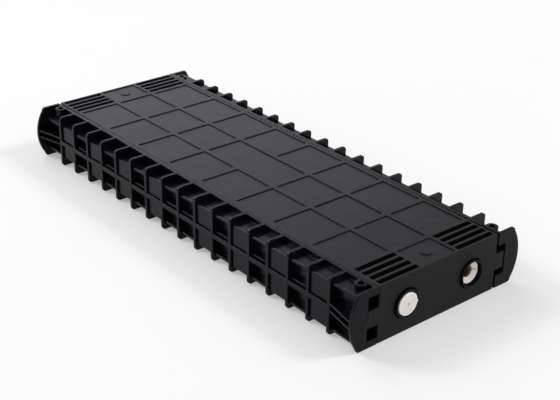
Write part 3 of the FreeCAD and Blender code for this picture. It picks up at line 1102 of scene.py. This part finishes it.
    def flat_bay(self, index: int) -> list[Patch]:
        """Flat panel in two halves, with a fine groove between them and the first lengthwise rib across it.

        Each half is carried from the section at one end of the bay to the section at the other, because the shelf
        above slopes.

        Args:
            index: Number of the bay, from the far end.

        Returns:
            Both halves, the groove's floor and the rib.
        """
        x0, x1 = self.bay(index, self.overlap)
        low, high = self.groove
        back, face = self.web[1] - self.overlap, self.panel + self.cover
        upper, lower = [], []
        for x in (x0, x1):
            crown = self.shelf(x) + self.cover
            over = [(back, high), (face, high), (face, crown), (back, crown)]
            under = [(back, self.height - crown), (face, self.height - crown), (face, low), (back, low)]
            upper.append((x, rounded_outline(over, [self.fine, self.fine, self.shelf_round, self.fine])))
            lower.append((x, rounded_outline(under, [self.fine, self.shelf_round, self.fine, self.fine])))
        z0, z1 = low - self.past, high + self.past
        floor = rounded_outline([(z0, x0), (z1, x0), (z1, x1), (z0, x1)], self.fine)
        made = [swept(sections, Axis.X, self.hidden) for sections in (upper, lower)]
        made.append(loft(floor, Axis.Y, back, face - self.groove_depth, self.hidden))
        return made + [self.bay_rib(index, *self.bay_ribs[0])]

    def pocket(self, index: int) -> Patch:
        """Cutter for the hollow behind a flat panel, which opens into the channel.

        Its outline is as high as the channel at both ends of the bay, and it stops one wall short of the panel's face.

        Args:
            index: Number of the bay, from the far end.

        Returns:
            The cutter.
        """
        x0, x1 = self.bay(index, 0.0)
        roof0, roof1 = self.roof(x0), self.roof(x1)
        corners = [(self.height - roof0, x0), (roof0, x0), (roof1, x1), (self.height - roof1, x1)]
        start, end = self.web[0] - self.past, self.panel - (self.web[1] - self.web[0])
        return loft(rounded_outline(corners, self.corner), Axis.Y, start, end, self.pocket_rim)

    def bay_rib(self, index: int, z0: float, z1: float, face: float) -> Patch:
        """One lengthwise rib: a rounded bar on the web, carried across a bay.

        Args:
            index: Number of the bay, from the far end.
            z0: Lower level.
            z1: Upper level.
            face: Place of its face.

        Returns:
            The rib.
        """
        x0, x1 = self.bay(index, self.overlap)
        root = self.web[1] - self.overlap
        corners = [(root, z0), (face, z0), (face, z1), (root, z1)]
        return loft(rounded_outline(corners, self.corner), Axis.X, x0, x1, self.hidden)

    def deep_bay(self, index: int) -> list[Patch]:
        """Lengthwise ribs of a bay that is open to the web."""
        return [self.bay_rib(index, *sizes) for sizes in self.bay_ribs]

    def flares(self) -> list[Patch]:
        """Lengthwise ribs of the end bays, whose face runs out straight from the last rib to the plate's bulge.

        Returns:
            The near ribs and the far ones.
        """
        start = self.rib_pitch * (self.rib_count - 1) / 2 + self.rib_wall / 2 - self.overlap
        end = self.half_length - self.plate + self.overlap
        root = self.web[1] - self.overlap
        narrow, wide = self.rib_face - self.flare_setback[0], self.bulge - self.flare_setback[1]
        near = rounded_outline([(start, root), (end, root), (end, wide), (start, narrow)], self.corner)
        far = (near * (-1, 1))[::-1]
        return [loft(outline, Axis.Z, z0, z1, self.flare_rim) for outline in (near, far) for z0, z1 in self.end_ribs]

    def boss_places(self) -> list[tuple[float, float]]:
        """Centres of the ring bosses."""
        x, y = self.half_length - self.boss_inset, self.strip + self.boss_side
        return [(-x, y), (x, y)]

    def bosses(self) -> list[Patch]:
        """Round bosses beside the strip, nearly level with the roof: a profile with a rounded rim, carried round.

        Returns:
            The far boss and the near one, still without their bores.
        """
        turn = np.linspace(0, math.pi / 2, RIM_STEPS + 1)
        radius, crown = self.boss[0], self.height - self.cover
        rim = np.stack([np.cos(turn) - 1, np.sin(turn) - 1], axis=1) * self.boss_round + (radius, crown)
        made = []
        for x, y in self.boss_places():
            low = self.shelf(x) - self.overlap
            profile = np.concatenate([[(self.boss_core, low), (radius, low)], rim, [(self.boss_core, crown)]])
            made.append(revolved(profile, Axis.Z, closed=False, count=self.boss_count).moved(x, y, 0))
        return made

    def cutters(self) -> list[Patch]:
        """Boss bores with a small countersink, the hollows behind flat panels, and the step at the wide end.

        Returns:
            What is taken away from the rail's solids.
        """
        radius, crown = self.boss[1], self.height - self.cover
        wide = radius + self.countersink
        profile = [(radius, self.seam), (radius, crown - self.countersink), (wide, crown), (wide, crown + self.past)]
        bore = revolved(np.array(profile), Axis.Z, closed=False, count=self.boss_count)
        made = [bore.moved(x, y, 0) for x, y in self.boss_places()]
        made += [self.pocket(index) for index, letter in enumerate(self.bays) if Bay(letter) is Bay.FLAT]
        depth, width, over = self.step
        y0, y1 = self.web[0] - self.past, self.web[0] + width
        low, high = self.seam - self.channel[0], self.seam + over
        outline = rounded_outline([(y0, low), (y1, low), (y1, high), (y0, high)], self.fine)
        reach = self.half_length
        return made + [loft(outline, Axis.X, -reach - self.past, depth - reach, self.hidden)]

    def lips(self) -> list[Patch]:
        """Hooks along the strip that reach over the tongue, carried through three sections that follow the relief.

        Returns:
            The upper lip and the lower one.
        """
        z0, z1 = self.seam + self.lip_half, self.height - self.past
        y1 = self.strip - self.cover
        upper = []
        for x in (-self.lip_reach, self.relief[0], self.lip_reach):
            y0 = self.inner_at(x) + self.cover
            upper.append((x, rounded_outline([(y0, z0), (y1, z0), (y1, z1), (y0, z1)], self.corner)))
        lower = [(x, self.flipped(outline)) for x, outline in upper]
        return [swept(sections, Axis.X, self.flare_rim) for sections in (upper, lower)]

    def solids(self) -> list[Patch]:
        """All solids of the rail, as drawn on the right side.

        Returns:
            The beam, then what stands on it.
        """
        reach = self.half_length - self.overlap
        made = [swept([(x, self.beam_outline(x)) for x in (-reach, self.relief[0], reach)], Axis.X, self.hidden)]
        first = -self.rib_pitch * (self.rib_count - 1) / 2
        made += [self.rib(first + k * self.rib_pitch) for k in range(self.rib_count)]
        made += self.end_plates() + self.lips() + self.flares() + self.bosses()
        for index, letter in enumerate(self.bays):
            made += self.flat_bay(index) if Bay(letter) is Bay.FLAT else self.deep_bay(index)
        return made

    def build(self, material: bpy.types.Material) -> bpy.types.Object:
        """Builds and dresses the rail.

        Args:
            material: Finish of the moulding.

        Returns:
            The rail.
        """
        solids, cutters = self.solids(), self.cutters()
        if self.side is Side.LEFT:
            solids, cutters = [p.turned() for p in solids], [p.turned() for p in cutters]
        name = self.node + "_moulding"
        mesh = fused(name, solids, cutters)
        return finished(name, mesh, material, self.side.name.lower() + "_rail", [self.node])


@dataclass
class Port:
    """One cable port: a rubber ring and the plug or sleeve that fills it.

    Sizes are in millimetres, and pieces are drawn about the x axis at the near end.

    Attributes:
        end: End of the closure.
        side: Side of the closure.
        insert: What fills the port.
        half_length: Place of the end face.
        spread: Distance of the port's axis from the closure's middle.
        seam: Level of the axis, which lies in the seam between the shells.
        seat_depth: Depth of the ring's back behind the end face.
        seal_radius: Radius of the ring's body.
        nose: Radius of the ring's nose, and how far behind and in front of the end face it goes.
        nose_round: Radius of the nose's outer edge.
        mouth: Radius and depth of the nose's mouth.
        snug_mouth: Radius of the mouth round a plug.
        mouth_round: Radius of the mouth's edge.
        ring_count: Points round a ring or sleeve.
        plug_radius: Radius of a plug or sleeve.
        plug_out: How far a plug stands out of the end face.
        plug_rim: Radius of a plug's edge.
        plug_core: Radius of the flat middle of a plug's back.
        plug_steps: Straight pieces in the rounding of a plug's edge.
        plug_count: Points round a plug.
        collar: Radius and length of the collar behind the ring.
        clearance: Gap between a plug and its ring.
        gate: Radius and depth of the gate mark.
        nib: Height of the nib, its place round the rim and its width, both in degrees.
        nib_root: How far behind the plug's face the stem is still round, and where the nib starts.
        nib_rise: Length over which the nib reaches its height.
        sleeve_bore: Radius of the sleeve's bore.
        sleeve_setback: How far the sleeve's tip lies behind the end face.
        sleeve_mouth: Width and depth of the sleeve's funnel.
        sleeve_lip: Radius of the sleeve's edge round the funnel.
        slit: Width of the sleeve's slit, and its place round the sleeve in degrees.
        slit_corner: Radius of the slit's inner corners.
        slit_back: Start of the slit behind the ring's back.
        soft: Radius of plain edges.
        fine: Radius of edges that hardly show.
        hidden: Radius of rims of a cutter that lie outside what it cuts.
        past: How far a cutter goes past the face that it opens.
    """

    end: End
    side: Side
    insert: Insert
    half_length: float = 206.0
    spread: float = 33.0
    seam: float = 23.0
    seat_depth: float = 20.0
    seal_radius: float = 11.7
    nose: tuple[float, float, float] = (11.2, 4.0, 1.8)
    nose_round: float = 0.7
    mouth: tuple[float, float] = (9.7, 3.4)
    snug_mouth: float = 9.3
    mouth_round: float = 0.4
    ring_count: int = 96
    plug_radius: float = 8.75
    plug_out: float = 2.3
    plug_rim: float = 0.35
    plug_core: float = 1.0
    plug_steps: int = 4
    plug_count: int = 180
    collar: tuple[float, float] = (10.8, 3.0)
    clearance: float = 0.3
    gate: tuple[float, float] = (0.8, 0.4)
    nib: tuple[float, float, float] = (1.1, -2.0, 3.0)
    nib_root: tuple[float, float] = (2.0, 0.9)
    nib_rise: float = 0.5
    sleeve_bore: float = 4.6
    sleeve_setback: float = 1.2
    sleeve_mouth: tuple[float, float] = (2.9, 2.4)
    sleeve_lip: float = 0.4
    slit: tuple[float, float] = (0.8, 2.5)
    slit_corner: float = 0.05
    slit_back: float = 8.0
    soft: float = 0.3
    fine: float = 0.2
    hidden: float = 0.1
    past: float = 1.0

    @property
    def name(self) -> str:
        """The port's name in the frame."""
        return self.end.name.lower() + "_" + self.side.name.lower()

    @property
    def seat(self) -> float:
        """Place of the ring's back on the port's axis."""
        return self.half_length - self.seat_depth

    def placed(self, patch: Patch) -> Patch:
        """A piece drawn about the x axis at the near end, moved to this port."""
        turned = patch.turned() if self.end is End.FAR else patch
        return turned.moved(0, self.side.value * self.spread, self.seam)

    def ring(self) -> Patch:
        """Rubber ring: a wide body on the seat and a soft-lipped nose that stands proud.

        Its rounded profile is carried once round the axis. The nose opens into a mouth, which lies closer round a plug
        than round a sleeve.

        Returns:
            The ring.
        """
        bore = self.plug_radius + self.clearance
        radius, start, out = self.nose
        shoulder, front = self.half_length - start, self.half_length + out
        mouth, depth = self.mouth
        mouth = self.snug_mouth if self.insert is Insert.PLUG else mouth
        corners = [
            (bore, self.seat),
            (self.seal_radius, self.seat),
            (self.seal_radius, shoulder),
            (radius, shoulder),
            (radius, front),
            (mouth, front),
            (mouth, front - depth),
            (bore, front - depth),
        ]
        radii = [self.soft] * 4 + [self.nose_round, self.mouth_round, self.fine, self.fine]
        outline = rounded_outline(corners, radii, FINE_STEPS)
        return self.placed(revolved(outline, Axis.X, closed=True, count=self.ring_count))

    def plug(self) -> Patch:
        """Plug with a collar behind the ring, a gate mark in the middle of its face and a nib of flash on its rim.

        The nib pushes the last rings out by its height times a bell curve over the angle round the rim.

        Returns:
            The plug.
        """
        radius, tip = self.plug_radius, self.half_length + self.plug_out
        turn = np.linspace(0, math.pi / 2, self.plug_steps + 1)
        rim = np.stack([np.cos(turn) - 1, np.sin(turn) - 1], axis=1) * self.plug_rim + (radius, tip)
        collar, length = self.collar
        gate, depth = self.gate
        end = self.seat - length
        back = [(self.plug_core, end), (collar, end), (collar, self.seat), (radius, self.seat)]
        stem = [(radius, tip - root) for root in self.nib_root]
        face = [(gate + self.fine, tip), (gate, tip - depth), (self.fine, tip - depth)]
        patch = revolved(np.concatenate([back, stem, rim, face]), Axis.X, closed=False, count=self.plug_count)
        x, y, z = patch.points.T
        height, place, width = self.nib
        swing = np.degrees(np.arctan2(z, y)) - place
        outer = np.hypot(y, z) > radius - self.fine
        rise = np.clip((x - tip + self.nib_root[1]) / self.nib_rise, 0, 1)
        bell = height * np.exp(-((swing / width) ** 2)) * outer * rise
        patch.points[:, 1:] *= (1 + bell / radius)[:, None]
        return self.placed(patch)

    def sleeve(self) -> Patch:
        """Hollow sleeve with a collar behind the ring and a funnel that leads a cable in.

        Its rounded profile is carried once round the axis.

        Returns:
            The sleeve, still without its slit.
        """
        tip, (collar, length) = self.half_length - self.sleeve_setback, self.collar
        flare, sink = self.sleeve_mouth
        corners = [
            (self.sleeve_bore, self.seat - length),
            (collar, self.seat - length),
            (collar, self.seat),
            (self.plug_radius, self.seat),
            (self.plug_radius, tip),
            (self.sleeve_bore + flare, tip),
            (self.sleeve_bore, tip - sink),
        ]
        outline = rounded_outline(corners, [self.fine] * 4 + [self.soft, self.sleeve_lip, self.soft])
        return self.placed(revolved(outline, Axis.X, closed=True, count=self.ring_count))

    def slit_cutter(self) -> Patch:
        """Cutter for the slit that lets the sleeve close on a cable: a thin blade turned to its place round the axis.

        Returns:
            The cutter.
        """
        half, place = self.slit[0] / 2, math.radians(self.slit[1])
        y0, y1 = self.sleeve_bore - self.past, self.collar[0] + self.past
        corners = [(y0, -half), (y1, -half), (y1, half), (y0, half)]
        turn = np.array([[math.cos(place), math.sin(place)], [-math.sin(place), math.cos(place)]])
        outline = rounded_outline(corners, self.slit_corner) @ turn
        start, end = self.seat - self.slit_back, self.half_length + self.past
        return self.placed(loft(outline, Axis.X, start, end, self.hidden))

    def build(self, rubber: bpy.types.Material, plastic: bpy.types.Material) -> None:
        """Builds and dresses the port's ring and insert.

        The insert's attribute "around" holds, at each point, the cosine and sine of the angle round the port's axis
        and the distance from it in millimetres.

        Args:
            rubber: Finish of the ring.
            plastic: Finish of the plug or sleeve.
        """
        name = self.name + "_port_ring"
        finished(name, self.ring().mesh(name), rubber, CLOSURE, [self.name + "_port_seal"])
        name = f"{self.name}_white_{self.insert.value}"
        if self.insert is Insert.PLUG:
            mesh = self.plug().mesh(name)
        else:
            mesh = fused(name, [self.sleeve()], [self.slit_cutter()])
        place = np.empty(len(mesh.vertices) * 3, np.float32)
        mesh.vertices.foreach_get("co", place)
        offset = place.reshape(-1, 3)[:, 1:] - (self.side.value * self.spread * MM, self.seam * MM)
        angle = np.arctan2(offset[:, 1], offset[:, 0])
        around = np.stack([np.cos(angle), np.sin(angle), np.hypot(*offset.T) / MM], axis=1)
        mesh.attributes.new("around", "FLOAT_VECTOR", "POINT").data.foreach_set("vector", around.ravel())
        finished(name, mesh, plastic, CLOSURE, [f"{self.name}_{self.insert.value}"])


@dataclass
class KeptPiece:
    """Piece that keeps its shape from the frame and gets softened edges and a finish.

    Attributes:
        node: Name of the node.
        material: Finish.
        edge: Width of the softened edges in millimetres.
        weld: Distance in millimetres within which corners of loose triangles are one.
        flat: Angle in degrees under which neighbouring triangles are one flat face.
        segments: Strips in a softened edge.
    """

    node: str
    material: bpy.types.Material
    edge: float
    weld: float = 0.002
    flat: float = 0.5
    segments: int = 2

    def build(self) -> None:
        """Welds the loose triangles, clears the flat faces and softens the edges."""
        piece = frame["nodes"][self.node]
        piece.data.shade_smooth()
        piece.data.materials.clear()
        piece.data.materials.append(self.material)
        piece.modifiers.new("weld", "WELD").merge_threshold = self.weld * MM
        flat = piece.modifiers.new("flat_faces", "DECIMATE")
        flat.decimate_type = "DISSOLVE"
        flat.angle_limit = math.radians(self.flat)
        soft = piece.modifiers.new("soft_edges", "BEVEL")
        soft.width = self.edge * MM
        soft.segments = self.segments
        soft.limit_method = "ANGLE"
        soft.angle_limit = SHARP_ANGLE
        soft.use_clamp_overlap = False
        piece.modifiers.new("even_faces", "WEIGHTED_NORMAL").keep_sharp = True
        LOG.info("%s: kept from the frame", self.node)


@dataclass(frozen=True)
class SoftBox:
    """Square soft box that faces the closure.

    Attributes:
        name: Name of the lamp.
        place: Its middle, in millimetres.
        size: Its side, in millimetres.
        power: Its power, in watts.
    """

    name: str
    place: tuple[float, float, float]
    size: float
    power: float

    def build(self) -> None:
        """Hangs the lamp and turns it to the closure."""
        data = bpy.data.lights.new(self.name, "AREA")
        data.shape, data.size, data.energy = "SQUARE", self.size * MM, self.power
        made = new_object(self.name, data)
        made.location = Vector(self.place) * MM
        made.rotation_euler = (-made.location).to_track_quat("-Z", "Y").to_euler()


@dataclass
class Studio:
    """Pale floor, soft light and the photograph's camera. Lengths are in millimetres, angles in degrees.

    Attributes:
        azimuth: Turn of the camera about the upright axis, from the left side towards the near end.
        elevation: Rise of the camera over the floor.
        roll: Turn of the camera about its line of sight.
        distance: Distance of the camera from its target.
        target: Point that the camera looks at.
        lens: Focal length.
        sensor: Width of the sensor.
        clip: Nearest and furthest distance that is drawn.
        floor_reach: Half the floor's side.
        floor_gap: Gap under the closure.
        board: Darker and lighter tone of the floor.
        board_roughness: Roughness of the floor.
        mottle: Width of the floor's clouds.
        white: Colour of the background where it is looked at.
        fade: Distances from the closure between which the floor turns white.
        fade_start: Share of white at the closure.
        horizon: Heights of a direction, as sines, between which the white above the floor fades out.
        dome_axis: Direction from which the dome is brightest.
        dome_span: Cosines to that axis between which the dome's strength rises.
        dome_light: Lowest and highest strength of the dome.
        fill_axis: Direction from which the fill is brightest.
        fill_span: Cosines to that axis between which the fill's strength rises.
        fill_light: Highest strength of the fill.
        dome_colours: Colour of the dome all round, and about its axis.
        lamps: Soft boxes.
    """

    azimuth: float = 49.51
    elevation: float = 26.57
    roll: float = 1.12
    distance: float = 918.3
    target: tuple[float, float, float] = (65.9, -29.6, 46.0)
    lens: float = 77.58
    sensor: float = 36.0
    clip: tuple[float, float] = (10.0, 100000.0)
    floor_reach: float = 6000.0
    floor_gap: float = 0.3
    board: tuple[str, str] = ("#F8F8F8", "#FCFCFC")
    board_roughness: float = 0.9
    mottle: float = 300.0
    white: str = "#FDFDFD"
    fade: tuple[float, float] = (150.0, 1000.0)
    fade_start: float = 0.3
    horizon: tuple[float, float] = (0.12, 0.22)
    dome_axis: tuple[float, float, float] = (-0.90, 0.42, 0.10)
    dome_span: tuple[float, float] = (0.78, 1.0)
    dome_light: tuple[float, float] = (0.25, 1.62)
    fill_axis: tuple[float, float, float] = (0.70, -0.64, 0.32)
    fill_span: tuple[float, float] = (-0.3, 0.9)
    fill_light: float = 0.33
    dome_colours: tuple[str, str] = ("#FCFCFC", "#F4F0FF")
    lamps: tuple[SoftBox, ...] = (
        SoftBox("soft_box_above", (-2925.0, 450.0, 3375.0), 1600.0, 28.0),
        SoftBox("soft_box_left", (-2250.0, -1490.0, 1920.0), 1000.0, 42.0),
        SoftBox("soft_box_right", (1580.0, 2050.0, 2400.0), 880.0, 40.0),
        SoftBox("soft_box_front", (2050.0, -2330.0, 1540.0), 1100.0, 13.0),
    )

    def camera(self) -> None:
        """Places the camera: back vector from azimuth and elevation, then a small roll about it."""
        turn, rise, roll = (math.radians(a) for a in (self.azimuth, self.elevation, self.roll))
        back = Vector((math.sin(turn) * math.cos(rise), -math.cos(turn) * math.cos(rise), math.sin(rise)))
        level = Vector((math.cos(turn), math.sin(turn), 0.0))
        upright = back.cross(level)
        right = level * math.cos(roll) + upright * math.sin(roll)
        up = upright * math.cos(roll) - level * math.sin(roll)
        data = bpy.data.cameras.new("camera")
        data.lens, data.sensor_width, data.sensor_fit = self.lens, self.sensor, "HORIZONTAL"
        data.clip_start, data.clip_end = self.clip[0] * MM, self.clip[1] * MM
        made = new_object("camera", data)
        place = (Vector(self.target) + back * self.distance) * MM
        made.matrix_world = Matrix((right, up, back)).transposed().to_4x4()
        made.location = place
        bpy.context.scene.camera = made

    def seen(self, tree: bpy.types.NodeTree, where: Any) -> Any:
        """Marks background that is looked at, straight on or through gloss or glass.

        The share is the largest of the three kinds of ray, times the share of the place.

        Args:
            tree: Node tree of the floor or the world.
            where: Socket that is 1 where the background reads as white.

        Returns:
            Socket with the share.
        """
        path = add_node(tree, "ShaderNodeLightPath").outputs
        sharp = add_node(
            tree, "ShaderNodeMath", {0: path["Is Glossy Ray"], 1: path["Is Transmission Ray"]}, operation="MAXIMUM"
        )
        looked = add_node(tree, "ShaderNodeMath", {0: path["Is Camera Ray"], 1: sharp.outputs[0]}, operation="MAXIMUM")
        return add_node(tree, "ShaderNodeMath", {0: looked.outputs[0], 1: where}, operation="MULTIPLY").outputs[0]

    def floor(self) -> None:
        """Lays a matte white board just under the closure and lets it run out into white.

        The board's faint mottling keeps it from looking painted flat. The white grows smoothly with the distance from
        the closure, so the shadow stays.
        """
        material, tree, place = fresh_material("matte_white_board")
        cloud = add_node(tree, "ShaderNodeTexNoise", {"Vector": place, "Scale": per_metre(self.mottle)})
        dark, light = (linear(code) for code in self.board)
        tone = add_node(
            tree,
            "ShaderNodeMix",
            {SHARE: cloud.outputs["Fac"], COLOUR_A: dark, COLOUR_B: light},
            data_type="RGBA",
        )
        board = add_node(
            tree,
            "ShaderNodeBsdfPrincipled",
            {"Base Color": tone.outputs[MIXED], "Roughness": self.board_roughness, "Specular IOR Level": 0.0},
        )
        away = add_node(tree, "ShaderNodeVectorMath", {0: place}, operation="LENGTH")
        far = add_node(
            tree,
            "ShaderNodeMapRange",
            {
                "Value": away.outputs["Value"],
                "From Min": self.fade[0] * MM,
                "From Max": self.fade[1] * MM,
                "To Min": self.fade_start,
            },
            interpolation_type="SMOOTHSTEP",
        )
        white = add_node(tree, "ShaderNodeEmission", {"Color": linear(self.white), "Strength": 1.0})
        share = self.seen(tree, far.outputs["Result"])
        both = add_node(tree, "ShaderNodeMixShader", {0: share, 1: board.outputs[0], 2: white.outputs[0]})
        add_node(tree, "ShaderNodeOutputMaterial", {"Surface": both.outputs[0]})
        corners = np.array([(-1, -1), (1, -1), (1, 1), (-1, 1)]) * self.floor_reach
        points = np.column_stack([corners, np.full(4, -self.floor_gap)])
        mesh = Patch(points, np.arange(4)[None, :]).mesh("floor")
        mesh.materials.append(material)
        new_object("floor", mesh)

    def dome(self) -> None:
        """Lights the scene from all round, brightest from above and behind, with a horizon that reads as white.

        The strength rises smoothly with the cosine between a direction and the dome's axis, and a weaker fill rises in
        the same way about an axis in front. The white fades out with the height above the horizon.
        """
        world = bpy.data.worlds.new("studio")
        bpy.context.scene.world = world
        world.use_nodes = True
        tree = world.node_tree
        tree.nodes.clear()
        toward = add_node(tree, "ShaderNodeTexCoord").outputs["Generated"]
        shares = []
        for axis, span in ((self.dome_axis, self.dome_span), (self.fill_axis, self.fill_span)):
            lean = add_node(
                tree, "ShaderNodeVectorMath", {0: toward, 1: Vector(axis).normalized()}, operation="DOT_PRODUCT"
            )
            risen = add_node(
                tree,
                "ShaderNodeMapRange",
                {"Value": lean.outputs["Value"], "From Min": span[0], "From Max": span[1]},
                interpolation_type="SMOOTHSTEP",
            )
            shares.append(risen.outputs["Result"])
        share, front = shares
        level = add_node(
            tree,
            "ShaderNodeMapRange",
            {"Value": share, "To Min": self.dome_light[0], "To Max": self.dome_light[1]},
        )
        filled = add_node(
            tree,
            "ShaderNodeMath",
            {0: front, 1: self.fill_light, 2: level.outputs["Result"]},
            operation="MULTIPLY_ADD",
        )
        plain, cool = (linear(code) for code in self.dome_colours)
        colour = add_node(tree, "ShaderNodeMix", {SHARE: share, COLOUR_A: plain, COLOUR_B: cool}, data_type="RGBA")
        glow = add_node(tree, "ShaderNodeBackground", {"Color": colour.outputs[MIXED], "Strength": filled.outputs[0]})
        height = add_node(tree, "ShaderNodeSeparateXYZ", {"Vector": toward}).outputs["Z"]
        low = add_node(
            tree,
            "ShaderNodeMapRange",
            {"Value": height, "From Min": self.horizon[1], "From Max": self.horizon[0]},
            interpolation_type="SMOOTHSTEP",
        )
        white = add_node(tree, "ShaderNodeBackground", {"Color": linear(self.white), "Strength": 1.0})
        looked = self.seen(tree, low.outputs["Result"])
        both = add_node(tree, "ShaderNodeMixShader", {0: looked, 1: glow.outputs[0], 2: white.outputs[0]})
        add_node(tree, "ShaderNodeOutputWorld", {"Surface": both.outputs[0]})

    def build(self) -> None:
        """Builds the floor, the light and the camera."""
        bpy.context.scene.view_settings.view_transform = "Standard"
        self.floor()
        self.dome()
        for lamp in self.lamps:
            lamp.build()
        self.camera()


def main() -> None:
    """Builds the closure's pieces in order, then the studio."""
    logging.basicConfig(level=logging.INFO, format="%(name)s: %(message)s")
    shell, rail = SHELL_PLASTIC.build(), RAIL_PLASTIC.build()
    rubber = SEAL_RUBBER.build()
    inserts = {Insert.PLUG: PLUG_PLASTIC.build(), Insert.SLEEVE: SLEEVE_PLASTIC.build()}
    tray, comb, cover = TRAY_PLASTIC.build(), COMB_RUBBER.build(), ClearSheet().build()
    steel, brass, fastener = FRAME_STEEL.build(), CLAMP_BRASS.build(), FASTENER_STEEL.build()

    for side in Side:
        ClampRail(side).build(rail)
    for end in End:
        for side in Side:
            insert = Insert.SLEEVE if (end, side) == (End.NEAR, Side.RIGHT) else Insert.PLUG
            Port(end, side, insert).build(rubber, inserts[insert])
    finishes = {
        "shell_plastic": shell,
        "seal_rubber": rubber,
        "tray_plastic": tray,
        "comb_rubber": comb,
        "cover_plastic": cover,
        "frame_steel": steel,
        "clamp_metal": brass,
        "fastener_steel": fastener,
    }
    replaced = {"rail_plastic", "plug_plastic"}
    for part in frame["record"]["subparts"]:
        name, kind = part["node"], part["material_slot"]
        if kind not in replaced and not name.endswith("_port_seal"):
            KeptPiece(name, finishes[kind], SHELL_EDGE if kind == "shell_plastic" else INNER_EDGE).build()

    Studio().build()


if __name__ == "__main__":
    main()
